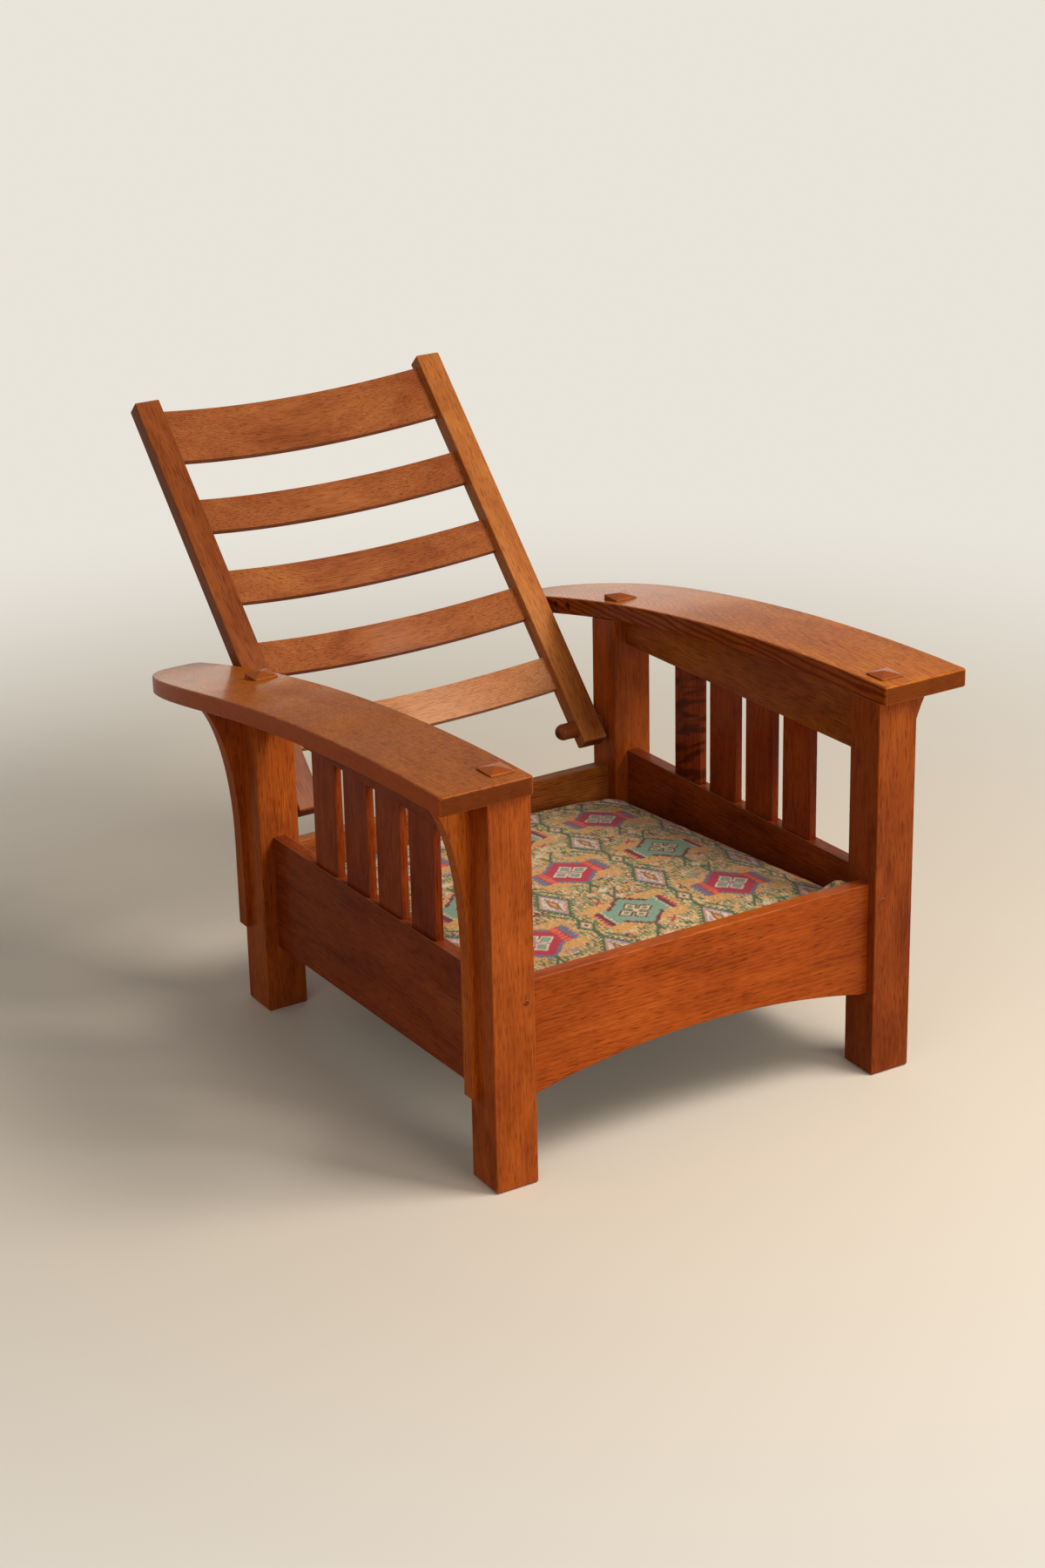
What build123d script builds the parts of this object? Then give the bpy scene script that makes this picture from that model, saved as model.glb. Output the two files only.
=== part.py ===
from build123d import *
import math
import os

os.makedirs("parts", exist_ok=True)

# All sizes are in millimetres. While the chair is built, x = 0 is its middle plane with +X the
# sitter's left, y = 0 is the front face of the front legs with +Y to the rear, and z = 0 is the floor.
# Left and right are the sitter's.

# Legs
leg_size = 70.0
outer_width = 746.0
outer_depth = 792.5
leg_edge_radius = 2.0
foot_chamfer = 3.0
arm_tenon_size = 39.0
arm_tenon_reveal = 2.0
arm_tenon_point_rise = 5.0

# Arms: planks bowed along an arc of large radius whose crown lies ahead of the legs
arm_bow_radius = 4422.5
arm_crown_height = 645.4
arm_crown_ahead = 94.5
arm_thickness = 29.0
arm_width = 152.0
arm_inner_reveal = 1.0
arm_front_overhang = 12.5
arm_rear_overhang = 272.5
arm_taper_length = 342.0
arm_taper_width = 95.0
arm_inner_corner_radius = 20.0
arm_front_corner_radius = 6.0
arm_edge_radius = 4.0
arm_underside_chamfer = 2.0

# Rails of the side frames
side_rail_thickness = 22.0
side_slope = 1.5
side_bottom_rail_height = 192.0
side_bottom_rail_top = 320.5
side_top_rail_front_height = 101.8

# Side slats
side_slat_count = 4
side_slat_width = 73.5
side_slat_pitch = 101.0
side_slat_thickness = 12.0

# Front rail and rear rail
front_rail_setback = 16.4
front_rail_thickness = 24.0
front_rail_top = 319.5
front_rail_bottom = 137.0
front_arch_rise = 33.0
front_arch_span = 580.0
front_rail_edge_radius = 2.5
rear_rail_thickness = 22.0
rear_rail_below_pivot = 69.2
rear_rail_bottom = 137.0

# Corbels: a plank whose outer edge is a straight foot and then a quarter of an ellipse, whose tip
# the arm's underside cuts off
corbel_thickness = 24.0
corbel_setback = 23.0
corbel_foot_height = 137.0
corbel_foot_projection = 10.0
corbel_flare_width = 80.0
corbel_flare_height = 262.0
corbel_flare_cut_off = 7.0

# Joinery
rail_tenon_length = 28.0
rail_tenon_thickness = 11.0
rail_tenon_shoulder = 14.0
slat_tenon_length = 14.0
slat_tenon_thickness = 8.0
slat_tenon_shoulder = 6.0
joint_gap = 0.1
tenon_pin_radius = 4.8
tenon_pin_length = 42.0
tenon_pin_inset = 14.5
tenon_pin_height = 294.0
pin_reveal = 0.6

# Reclining back
pivot_height = 344.2
pivot_inset = 26.8
lean = 44.25
lean_step = 10.0
lean_positions = 4
lean_position_in_use = 2
stile_width = 45.0
stile_depth = 29.3
stile_above_pivot = 744.0
stile_below_pivot = 31.0
stile_edge_radius = 2.0
stile_end_chamfer = 2.5
stile_side_gap = 9.0
back_slat_thickness = 12.5
back_slat_setback = 14.5
back_slat_bow = 27.0
narrow_slat_count = 4
narrow_slat_width = 61.0
wide_slat_width = 98.0
lowest_slat_from_pivot = 79.5
narrow_slat_pitch = 137.5
wide_slat_from_pivot = 629.0
back_tenon_length = 20.0
back_tenon_thickness = 8.0
back_tenon_shoulder = 8.0

# Pegs and spacer discs
peg_radius = 8.0
peg_running_gap = 0.06
peg_hole_depth = 44.0
peg_end_gap = 1.0
peg_rest_gap = 0.2
peg_end_chamfer = 2.0
support_peg_past_stile = 10.0
knob_radius = 14.0
knob_length = 37.0
knob_dome_length = 12.0
disc_radius = 17.5
disc_face_gap = 0.1

# Seat deck
seat_side_gap = 2.0
seat_front_gap = 1.6
seat_rear_gap = 9.0
seat_front_height = 247.6
seat_slope = 5.0
seat_edge_height = 38.0
seat_crown = 20.0
crown_fullness = 0.75
seat_edge_radius = 9.0
cloth_thickness = 1.2
cloth_turn_under = 36.0
soft_gap = 0.3
board_thickness = 19.0
board_width = 62.0
webbing_thickness = 1.5
webbing_width = 50.0
webbing_count = 5
webbing_overlap = 40.0
dust_cover_thickness = 0.8
dust_cover_clearance = 3.0

# Seat cleats and screws
cleat_height = 28.0
cleat_bearing = 22.0
cleat_end_gap = 5.0
front_cleat_thickness = 25.0
screw_radius = 2.1
screw_head_radius = 4.2
screw_head_depth = 3.0
screw_gap = 0.1
screw_bite = 14.0
seat_screw_count = 2
cleat_screw_count = 2
screw_end_share = 0.16
seat_screw_end_share = 0.24

# Places that follow from the sizes above
sides = {"left": 1, "right": -1}
leg_outer_x = outer_width / 2
leg_inner_x = leg_outer_x - leg_size
leg_middle_x = leg_outer_x - leg_size / 2
front_leg_y = leg_size / 2
rear_leg_y = outer_depth - leg_size / 2
frame_front_y = leg_size
frame_rear_y = outer_depth - leg_size
frame_middle_y = (frame_front_y + frame_rear_y) / 2
arm_inner_x = leg_inner_x + arm_inner_reveal
arm_outer_x = arm_inner_x + arm_width
arm_front_y = -arm_front_overhang
arm_rear_y = outer_depth + arm_rear_overhang
bow_centre_y = -arm_crown_ahead
bow_centre_z = arm_crown_height - arm_bow_radius
pivot_y = outer_depth - pivot_inset
stile_outer_x = leg_inner_x - stile_side_gap
stile_inner_x = stile_outer_x - stile_width
peg_bore_radius = peg_radius + peg_running_gap
rear_rail_top = pivot_height - rear_rail_below_pivot
front_rail_rear_y = front_rail_setback + front_rail_thickness
side_rail_inner_x = leg_middle_x - side_rail_thickness / 2
cut_past = leg_size


def bow_height(y, drop=0):
    """Height, at depth y, of the arc that lies a drop under the arm's top surface."""
    radius = arm_bow_radius - drop
    return bow_centre_z + math.sqrt(radius**2 - (y - bow_centre_y) ** 2)


def quarter_ellipse(centre, x_radius, y_radius, start_angle):
    """A quarter of an ellipse, anticlockwise from an angle in degrees."""
    sweep = math.degrees(math.pi / 2)
    return EllipticalCenterArc(centre, x_radius, y_radius, start_angle=start_angle, arc_size=sweep)


def below_bow(drop, bottom=0):
    """Block of everything from a level up to the arc that lies a drop under the arm's top surface."""
    start, end = arm_front_y - cut_past, arm_rear_y + cut_past
    middle = (start + end) / 2
    arc = ThreePointArc(*((y, bow_height(y, drop)) for y in (start, middle, end)))
    rest = Polyline(
        (end, bow_height(end, drop)),
        (end, bottom),
        (start, bottom),
        (start, bow_height(start, drop)),
    )
    return extrude(make_face(Plane.YZ * (arc + rest)), amount=arm_outer_x + cut_past, both=True)


def sloped(height_at_front, y):
    """Height at depth y of a side rail's edge, which drops steadily from the front leg to the rear one."""
    return height_at_front - (y - frame_front_y) * math.tan(math.radians(side_slope))


def side_board(front_y, rear_y, top, bottom, thickness):
    """Board in a side frame, centred on the legs; top and bottom are its edges' heights at the front leg."""
    outline = Polyline(
        (front_y, sloped(bottom, front_y)),
        (rear_y, sloped(bottom, rear_y)),
        (rear_y, sloped(top, rear_y)),
        (front_y, sloped(top, front_y)),
        close=True,
    )
    plane = Plane.YZ.offset(leg_middle_x)
    return extrude(make_face(plane * outline), amount=thickness / 2, both=True)


def side_tenons(top, bottom, gap=0):
    """Both tenons of a side rail as one bar from leg to leg, or, with a gap, the mortises for them."""
    reach = rail_tenon_length + gap
    shoulder = rail_tenon_shoulder - gap
    return side_board(
        frame_front_y - reach,
        frame_rear_y + reach,
        top - shoulder,
        bottom + shoulder,
        rail_tenon_thickness + 2 * gap,
    )


def top_rail_top():
    """Height at the front leg of a sloped line that stays under the arm at the rear leg as well."""
    at_rear = bow_height(frame_rear_y, arm_thickness)
    return at_rear + (sloped(0, frame_front_y) - sloped(0, frame_rear_y))


def across_tenons(bottom, top, middle_y, gap=0):
    """The tenons at both ends of the front or rear rail, or, with a gap, the mortises for them."""
    shoulder = rail_tenon_shoulder - gap
    length = rail_tenon_length + gap
    tenon = Box(length, rail_tenon_thickness + 2 * gap, top - bottom - 2 * shoulder)
    x = leg_inner_x + length / 2
    return [Pos(side * x, middle_y, (top + bottom) / 2) * tenon for side in sides.values()]


side_top_rail_underside = bow_height(frame_front_y, arm_thickness) - side_top_rail_front_height
front_rail_middle_y = front_rail_setback + front_rail_thickness / 2
front_rail_cut = (front_rail_bottom, front_rail_top, front_rail_middle_y)
rear_rail_cut = (rear_rail_bottom, rear_rail_top, rear_leg_y)
bottom_rail_cut = (side_bottom_rail_top, side_bottom_rail_top - side_bottom_rail_height)
top_rail_cut = (top_rail_top(), side_top_rail_underside)


def tenon_pin(gap=0):
    """Round pin driven through the front leg and the front rail's tenon."""
    length = tenon_pin_length + pin_reveal + gap
    pin = Cylinder(tenon_pin_radius + gap, length, align=(Align.CENTER, Align.CENTER, Align.MIN))
    turned = Pos(leg_inner_x + tenon_pin_inset, -pin_reveal, tenon_pin_height) * Rot(X=-90) * pin
    return turned


def leg(middle_y, rail_cut):
    """Square post cut to the arm's underside, with a square tenon through the arm and a pyramid on top."""
    upright = (Align.CENTER, Align.CENTER, Align.MIN)
    post = Pos(leg_middle_x, middle_y, 0) * Box(leg_size, leg_size, arm_crown_height, align=upright)
    post = chamfer(post.faces().sort_by(Axis.Z)[0].edges(), foot_chamfer)
    post = fillet(post.edges().filter_by(Axis.Z), leg_edge_radius)
    post = post & below_bow(arm_thickness + joint_gap)
    tenon_base = bow_height(middle_y + leg_size / 2, arm_thickness) - arm_thickness
    tenon_top = bow_height(middle_y - arm_tenon_size / 2) + arm_tenon_reveal
    tenon = Box(arm_tenon_size, arm_tenon_size, tenon_top - tenon_base, align=upright)
    point = loft([Plane.XY * Rectangle(arm_tenon_size, arm_tenon_size), Vertex(0, 0, arm_tenon_point_rise)])
    tenon_place = Pos(leg_middle_x, middle_y, 0)
    body = post + tenon_place * Pos(0, 0, tenon_base) * tenon + tenon_place * Pos(0, 0, tenon_top) * point
    body -= across_tenons(*rail_cut, gap=joint_gap)
    body -= side_tenons(*bottom_rail_cut, gap=joint_gap)
    body -= side_tenons(*top_rail_cut, gap=joint_gap)
    return body


def front_leg():
    """Front leg, bored from the front for the pin that holds the front rail's tenon."""
    return leg(front_leg_y, front_rail_cut) - tenon_pin(gap=joint_gap)


def rear_leg():
    """Rear leg, bored from its inner face for the pivot peg."""
    bore = Cylinder(peg_bore_radius, peg_hole_depth, align=(Align.CENTER, Align.CENTER, Align.MIN))
    return leg(rear_leg_y, rear_rail_cut) - Pos(leg_inner_x, pivot_y, pivot_height) * Rot(Y=90) * bore


def lean_directions(angle):
    """Unit directions up along a stile leaning back by an angle, and square to it, to the rear."""
    turn = math.radians(angle)
    return (math.sin(turn), math.cos(turn)), (math.cos(turn), -math.sin(turn))


def peg_place(angle):
    """Depth and height of the support peg that holds the back at an angle, on the arm's middle arc."""
    along, behind = lean_directions(angle)
    offset = stile_depth / 2 + peg_radius + peg_rest_gap
    from_centre_y = pivot_y + offset * behind[0] - bow_centre_y
    from_centre_z = pivot_height + offset * behind[1] - bow_centre_z
    radius = arm_bow_radius - arm_thickness / 2
    reach = from_centre_y * along[0] + from_centre_z * along[1]
    distance = math.sqrt(reach**2 - from_centre_y**2 - from_centre_z**2 + radius**2) - reach
    return (
        bow_centre_y + from_centre_y + distance * along[0],
        bow_centre_z + from_centre_z + distance * along[1],
    )


def peg_leans():
    """Leans that the peg holes give, from the most upright to the flattest."""
    return [lean + (n - lean_position_in_use) * lean_step for n in range(lean_positions)]


def arm():
    """Bowed plank with its outer edge swept in at the rear, mortised for the legs and bored for pegs."""
    taper_y = arm_rear_y - arm_taper_length
    taper_x = arm_outer_x - arm_taper_width
    outline = Polyline(
        (taper_x, arm_rear_y),
        (arm_inner_x, arm_rear_y),
        (arm_inner_x, arm_front_y),
        (arm_outer_x, arm_front_y),
        (arm_outer_x, taper_y),
    )
    sweep_in = quarter_ellipse((taper_x, taper_y), arm_taper_width, arm_taper_length, 0)
    plan = make_face(outline + sweep_in)
    inner_corner = plan.vertices().group_by(Axis.Y)[-1].sort_by(Axis.X)[0]
    plan = fillet(inner_corner, arm_inner_corner_radius)
    plan = fillet(plan.vertices().group_by(Axis.Y)[0], arm_front_corner_radius)
    plank = extrude(plan, amount=arm_crown_height + cut_past) & below_bow(0)
    plank -= below_bow(arm_thickness, -cut_past)
    underside = plank.faces().sort_by(SortBy.AREA)[-2:].sort_by(Axis.Z)[0]
    plank = chamfer(underside.edges(), arm_underside_chamfer)
    top = plank.faces().sort_by(SortBy.AREA)[-1]
    plank = fillet(top.edges(), arm_edge_radius)
    mortise_size = arm_tenon_size + 2 * joint_gap
    mortise = Box(mortise_size, mortise_size, 2 * arm_crown_height)
    for middle_y in (front_leg_y, rear_leg_y):
        plank -= Pos(leg_middle_x, middle_y, 0) * mortise
    hole = Cylinder(peg_bore_radius, peg_hole_depth, align=(Align.CENTER, Align.CENTER, Align.MIN))
    for angle in peg_leans():
        plank -= Pos(arm_inner_x, *peg_place(angle)) * Rot(Y=90) * hole
    return plank


def slat_middles():
    """Depths of the side slats' middles, spread evenly about the middle of the side frame."""
    first = frame_middle_y - side_slat_pitch * (side_slat_count - 1) / 2
    return [first + n * side_slat_pitch for n in range(side_slat_count)]


def side_slat_tenons(middle_y, gap=0):
    """Both tenons of a side slat as one bar, or, with a gap, the mortises for them."""
    reach = slat_tenon_length + gap
    width = side_slat_width - 2 * (slat_tenon_shoulder - gap)
    return side_board(
        middle_y - width / 2,
        middle_y + width / 2,
        side_top_rail_underside + reach,
        side_bottom_rail_top - reach,
        slat_tenon_thickness + 2 * gap,
    )


def side_slat(middle_y):
    """Upright slat whose ends are cut to the slope of the rails, with a tenon into each rail."""
    body = side_board(
        middle_y - side_slat_width / 2,
        middle_y + side_slat_width / 2,
        side_top_rail_underside,
        side_bottom_rail_top,
        side_slat_thickness,
    )
    return body + side_slat_tenons(middle_y)


def side_rail(top, bottom, tenon_cut):
    """Rail between the legs of one side, with its tenons and the mortises for the side slats."""
    rail = side_board(frame_front_y, frame_rear_y, top, bottom, side_rail_thickness)
    rail = rail & below_bow(arm_thickness + joint_gap)
    rail += side_tenons(*tenon_cut)
    for middle_y in slat_middles():
        rail -= side_slat_tenons(middle_y, gap=joint_gap)
    return rail


def side_top_rail():
    """Rail whose upper edge follows the arm's underside."""
    return side_rail(arm_crown_height, side_top_rail_underside, top_rail_cut)


def side_bottom_rail():
    """Deep rail that closes the side below the slats, bored for the seat cleat's screws."""
    return side_rail(*bottom_rail_cut, bottom_rail_cut) - side_cleat_screws(screw_gap)


def corbel(leg_middle_y):
    """Bracket on a leg's outer face: a narrow foot that flares out in an ellipse to carry the arm."""
    foot_x = leg_outer_x + corbel_foot_projection
    flare_top = bow_height(leg_middle_y, arm_thickness) + corbel_flare_cut_off
    flare_start = flare_top - corbel_flare_height
    tip_x = foot_x + corbel_flare_width
    flare = quarter_ellipse((tip_x, flare_start), corbel_flare_width, corbel_flare_height, 90)
    rest = Polyline(
        (foot_x, flare_start),
        (foot_x, corbel_foot_height),
        (leg_outer_x, corbel_foot_height),
        (leg_outer_x, flare_top),
        (tip_x, flare_top),
    )
    front_y = leg_middle_y - leg_size / 2 + corbel_setback
    plane = Plane.XZ.offset(-front_y - corbel_thickness)
    plank = extrude(make_face(plane * (flare + rest)), amount=corbel_thickness)
    return plank & below_bow(arm_thickness + joint_gap)


def front_rail():
    """Rail between the front legs, with an arched lower edge and eased upper edges."""
    arch_x = front_arch_span / 2
    arch = ThreePointArc(
        (-arch_x, front_rail_bottom), (0, front_rail_bottom + front_arch_rise), (arch_x, front_rail_bottom)
    )
    rest = Polyline(
        (arch_x, front_rail_bottom),
        (leg_inner_x, front_rail_bottom),
        (leg_inner_x, front_rail_top),
        (-leg_inner_x, front_rail_top),
        (-leg_inner_x, front_rail_bottom),
        (-arch_x, front_rail_bottom),
    )
    plane = Plane.XZ.offset(-front_rail_rear_y)
    rail = extrude(make_face(plane * (arch + rest)), amount=front_rail_thickness)
    top_edges = rail.faces().sort_by(Axis.Z)[-1].edges().filter_by(Axis.X)
    rail = fillet(top_edges, front_rail_edge_radius) + across_tenons(*front_rail_cut)
    for side in sides.values():
        rail -= on_side(tenon_pin(gap=joint_gap), side)
    return rail - front_cleat_screws(screw_gap)


def rear_rail():
    """Plain rail between the rear legs."""
    height = rear_rail_top - rear_rail_bottom
    board = Box(2 * leg_inner_x, rear_rail_thickness, height)
    board = Pos(0, rear_leg_y, (rear_rail_top + rear_rail_bottom) / 2) * board
    board = fillet(board.faces().sort_by(Axis.Z)[-1].edges().filter_by(Axis.X), leg_edge_radius)
    return board + across_tenons(*rear_rail_cut)


def on_side(piece, side):
    """The piece as built, on the sitter's left, or its mirror image on the right."""
    return piece if side > 0 else mirror(piece, about=Plane.YZ)


# The back is built upright, with the pivot at the origin and +Z up along the stiles, then leant back.
back_place = Pos(0, pivot_y, pivot_height) * Rot(X=-lean)


def back_slat_sizes():
    """Lower edge above the pivot, and width, of each back slat, from the bottom one up."""
    narrow_ones = [
        (lowest_slat_from_pivot + n * narrow_slat_pitch, narrow_slat_width) for n in range(narrow_slat_count)
    ]
    return narrow_ones + [(wide_slat_from_pivot, wide_slat_width)]


def back_slat_tenons(bottom, width, gap=0):
    """Both tenons of a back slat as one bar behind the bow, or, with a gap, the mortises for them."""
    shoulder = back_tenon_shoulder - gap
    middle_y = back_slat_setback + back_slat_thickness / 2 - stile_depth / 2
    bar = Box(back_tenon_length + gap, back_tenon_thickness + 2 * gap, width - 2 * shoulder)
    return [
        Pos(side * (stile_inner_x + (back_tenon_length + gap) / 2), middle_y, bottom + width / 2) * bar
        for side in sides.values()
    ]


def back_slat(bottom, width):
    """Slat bowed to the rear between the stiles, on an arc in plan, with a straight tenon at each end."""
    front_y = back_slat_setback - stile_depth / 2
    rear_y = front_y + back_slat_thickness
    end_x = stile_inner_x
    front_arc = ThreePointArc((-end_x, front_y), (0, front_y + back_slat_bow), (end_x, front_y))
    rear_arc = ThreePointArc((end_x, rear_y), (0, rear_y + back_slat_bow), (-end_x, rear_y))
    ends = Line((end_x, front_y), (end_x, rear_y)) + Line((-end_x, rear_y), (-end_x, front_y))
    slat = Pos(0, 0, bottom) * extrude(make_face(front_arc + rear_arc + ends), amount=width)
    for tenon in back_slat_tenons(bottom, width):
        slat += tenon
    return back_place * slat


def back_stile():
    """Straight stile, mortised for the slats and bored near its foot for the pivot peg."""
    length = stile_above_pivot + stile_below_pivot
    bar = Box(stile_width, stile_depth, length, align=(Align.MIN, Align.CENTER, Align.MIN))
    bar = Pos(stile_inner_x, 0, -stile_below_pivot) * bar
    end_edges = bar.faces().sort_by(Axis.Z)[0].edges() + bar.faces().sort_by(Axis.Z)[-1].edges()
    bar = fillet(chamfer(end_edges, stile_end_chamfer).edges().filter_by(Axis.Z), stile_edge_radius)
    for bottom, width in back_slat_sizes():
        bar -= back_slat_tenons(bottom, width, gap=joint_gap)[0]
    bore = Cylinder(peg_bore_radius, stile_outer_x + stile_width)
    return back_place * (bar - Pos(stile_outer_x, 0, 0) * Rot(Y=90) * bore)


def spacer_disc():
    """Turned disc on the pivot peg that keeps the stile clear of the leg."""
    disc = Cylinder(disc_radius, stile_side_gap - 2 * disc_face_gap)
    disc -= Cylinder(peg_bore_radius, stile_side_gap)
    return Pos(leg_inner_x - stile_side_gap / 2, pivot_y, pivot_height) * Rot(Y=90) * disc


def pivot_peg():
    """Turned peg through stile and disc into the leg, with a domed knob against the stile's inner face."""
    shank_end = leg_inner_x + peg_hole_depth - peg_end_gap
    knob_base = stile_inner_x - disc_face_gap
    tip = knob_base - knob_length
    dome_start = tip + knob_dome_length
    dome_radius = (knob_radius**2 + knob_dome_length**2) / (2 * knob_dome_length)
    outline = Polyline(
        (tip, 0),
        (shank_end, 0),
        (shank_end, peg_radius),
        (knob_base, peg_radius),
        (knob_base, knob_radius),
        (dome_start, knob_radius),
    )
    dome = RadiusArc((dome_start, knob_radius), (tip, 0), -dome_radius)
    peg = revolve(make_face(Plane.XZ * (outline + dome)), axis=Axis.X)
    rims = peg.edges().filter_by(GeomType.CIRCLE).group_by(Axis.X)
    peg = chamfer(rims[-1], peg_end_chamfer)
    return Pos(0, pivot_y, pivot_height) * peg


def support_peg():
    """Plain turned peg in the arm's peg hole, crossing behind the stile that rests on it."""
    start = stile_inner_x - support_peg_past_stile
    end = arm_inner_x + peg_hole_depth - peg_end_gap
    peg = Cylinder(peg_radius, end - start)
    peg = chamfer(peg.edges().filter_by(GeomType.CIRCLE), peg_end_chamfer)
    return Pos((start + end) / 2, *peg_place(lean)) * Rot(Y=90) * peg


# The seat deck is built level, with its front edge at y = 0 and its underside at z = 0, then tilted.
# It fills the room between the front legs, the front rail and the rear legs, less a gap at each.
seat_width = 2 * (leg_inner_x - seat_side_gap)
seat_level_depth = frame_rear_y - seat_rear_gap - front_rail_rear_y - seat_front_gap
seat_depth = seat_level_depth / math.cos(math.radians(seat_slope))
seat_place = Pos(0, front_rail_rear_y + seat_front_gap, seat_front_height) * Rot(X=-seat_slope)
board_bottom = cloth_thickness + soft_gap
board_top = board_bottom + board_thickness
cleat_inner_x = seat_width / 2 - cleat_bearing
cleat_front = frame_front_y + cleat_end_gap - front_rail_rear_y - seat_front_gap
cleat_length = seat_depth - cleat_front


def crown_controls(half):
    """Control points, as place and height share, of a full arch that is 1 in the middle and 0 at half."""
    pulled = crown_fullness * half
    return [(-half, 0), (-pulled, 4 / 3), (pulled, 4 / 3), (half, 0)]


def seat_form(inset):
    """Block of the deck's shape drawn in by an inset: rounded upper edges, and a top domed both ways."""
    half_width = seat_width / 2 - inset
    half_depth = seat_depth / 2 - inset
    edge = seat_edge_height - inset
    radius = seat_edge_radius - inset
    upright = (Align.CENTER, Align.CENTER, Align.MIN)
    block = Pos(0, 0, inset) * Box(2 * half_width, 2 * half_depth, edge - inset, align=upright)
    block = fillet(block.faces().sort_by(Axis.Z)[-1].edges(), radius)
    across = crown_controls(half_width - radius)
    along = crown_controls(half_depth - radius)
    controls = [[(x, y, edge + seat_crown * rise_x * rise_y) for y, rise_y in along] for x, rise_x in across]
    dome = extrude(Face.make_bezier_surface(controls), amount=seat_crown, dir=(0, 0, -1))
    return Pos(0, seat_depth / 2, 0) * (block + dome)


def seat_cover():
    """Cloth skin over the pad, down the sides and turned under the frame."""
    skin = seat_form(0) - seat_form(cloth_thickness)
    window = Box(
        seat_width - 2 * cloth_turn_under,
        seat_depth - 2 * cloth_turn_under,
        2 * cloth_thickness + 2 * soft_gap,
    )
    skin -= Pos(0, seat_depth / 2, 0) * window
    return seat_place * skin - seat_screws(screw_gap)


def seat_padding():
    """Crowned pad that lies on the webbing and fills the cover."""
    lowest = board_top + 2 * webbing_thickness + soft_gap
    room = Pos(0, seat_depth / 2, lowest) * Box(
        seat_width, seat_depth, seat_edge_height + seat_crown, align=(Align.CENTER, Align.CENTER, Align.MIN)
    )
    return seat_place * (seat_form(cloth_thickness + soft_gap) & room)


def seat_boards():
    """Front, rear, left and right boards of the deck's frame, the side ones between the other two."""
    inset = cloth_thickness + soft_gap
    long_side = seat_width - 2 * inset
    short_side = seat_depth - 2 * inset - 2 * board_width
    upright = (Align.CENTER, Align.CENTER, Align.MIN)
    cross = Box(long_side, board_width, board_thickness, align=upright)
    runner = Box(board_width, short_side, board_thickness, align=upright)
    near_y = inset + board_width / 2
    side_x = long_side / 2 - board_width / 2
    places = {
        "front": Pos(0, near_y, board_bottom) * cross,
        "rear": Pos(0, seat_depth - near_y, board_bottom) * cross,
        "left": Pos(side_x, seat_depth / 2, board_bottom) * runner,
        "right": Pos(-side_x, seat_depth / 2, board_bottom) * runner,
    }
    return {name: seat_place * board - seat_screws(screw_gap) for name, board in places.items()}


def seat_webbing(lengthwise):
    """Straps tacked across the frame's opening: lengthwise ones on the boards, crosswise ones on top."""
    open_width = seat_width - 2 * (cloth_thickness + soft_gap + board_width)
    open_depth = seat_depth - 2 * (cloth_thickness + soft_gap + board_width)
    if lengthwise:
        strap = Box(webbing_width, open_depth + 2 * webbing_overlap, webbing_thickness)
        pitch, level = open_width / webbing_count, board_top + webbing_thickness / 2
    else:
        strap = Box(open_width + 2 * webbing_overlap, webbing_width, webbing_thickness)
        pitch, level = open_depth / webbing_count, board_top + webbing_thickness + webbing_thickness / 2
    shifts = [(n - (webbing_count - 1) / 2) * pitch for n in range(webbing_count)]
    straps = [
        Pos(shift if lengthwise else 0, seat_depth / 2 + (0 if lengthwise else shift), level) * strap
        for shift in shifts
    ]
    return seat_place * Compound(children=straps)


def seat_dust_cover():
    """Thin cloth that closes the deck's underside between the cleats."""
    width = 2 * (cleat_inner_x - dust_cover_clearance)
    front_y = front_cleat_thickness + dust_cover_clearance
    rear_y = seat_depth - cloth_turn_under / 2
    sheet = Box(width, rear_y - front_y, dust_cover_thickness)
    return seat_place * Pos(0, (front_y + rear_y) / 2, -dust_cover_thickness / 2) * sheet


def wood_screw(length, gap=0):
    """Round-head screw along +Z whose head bears on z = 0, or, with a gap, the plain hole for its shank."""
    shank = Cylinder(screw_radius + gap, length + gap, align=(Align.CENTER, Align.CENTER, Align.MIN))
    if gap:
        return shank
    head = Cylinder(screw_head_radius, screw_head_depth, align=(Align.CENTER, Align.CENTER, Align.MAX))
    return shank + head


def spread(count, end_share):
    """Shares of a length at which a row of fasteners stands, the same distance in from both ends."""
    return [end_share + (1 - 2 * end_share) * n / (count - 1) for n in range(count)]


def seat_screws(gap=0):
    """Screws up through both side cleats into the deck's side boards."""
    x = (seat_width / 2 + cleat_inner_x) / 2
    screw = wood_screw(cleat_height + cloth_thickness + screw_bite, gap)
    return [
        seat_place * Pos(side * x, cleat_front + share * cleat_length, -cleat_height) * screw
        for side in sides.values()
        for share in spread(seat_screw_count, seat_screw_end_share)
    ]


def side_cleat_screws(gap=0):
    """Screws through the left side cleat into the side bottom rail."""
    turned_screw = Rot(Y=90) * wood_screw(side_rail_inner_x - cleat_inner_x + screw_bite, gap)
    return [
        seat_place * Pos(cleat_inner_x, cleat_front + share * cleat_length, -cleat_height / 2) * turned_screw
        for share in spread(cleat_screw_count, screw_end_share)
    ]


def side_cleat():
    """Bearer screwed to the inside of the side bottom rail, tilted with the deck."""
    width = side_rail_inner_x - cleat_inner_x
    block = Box(width, cleat_length, cleat_height, align=(Align.MIN, Align.MIN, Align.MAX))
    cleat = seat_place * Pos(cleat_inner_x, cleat_front, 0) * block
    return cleat - seat_screws(screw_gap) - side_cleat_screws(screw_gap)


def front_cleat_top(y):
    """Height of the deck's underside at depth y."""
    return seat_front_height - (y - front_rail_rear_y - seat_front_gap) * math.tan(math.radians(seat_slope))


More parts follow.
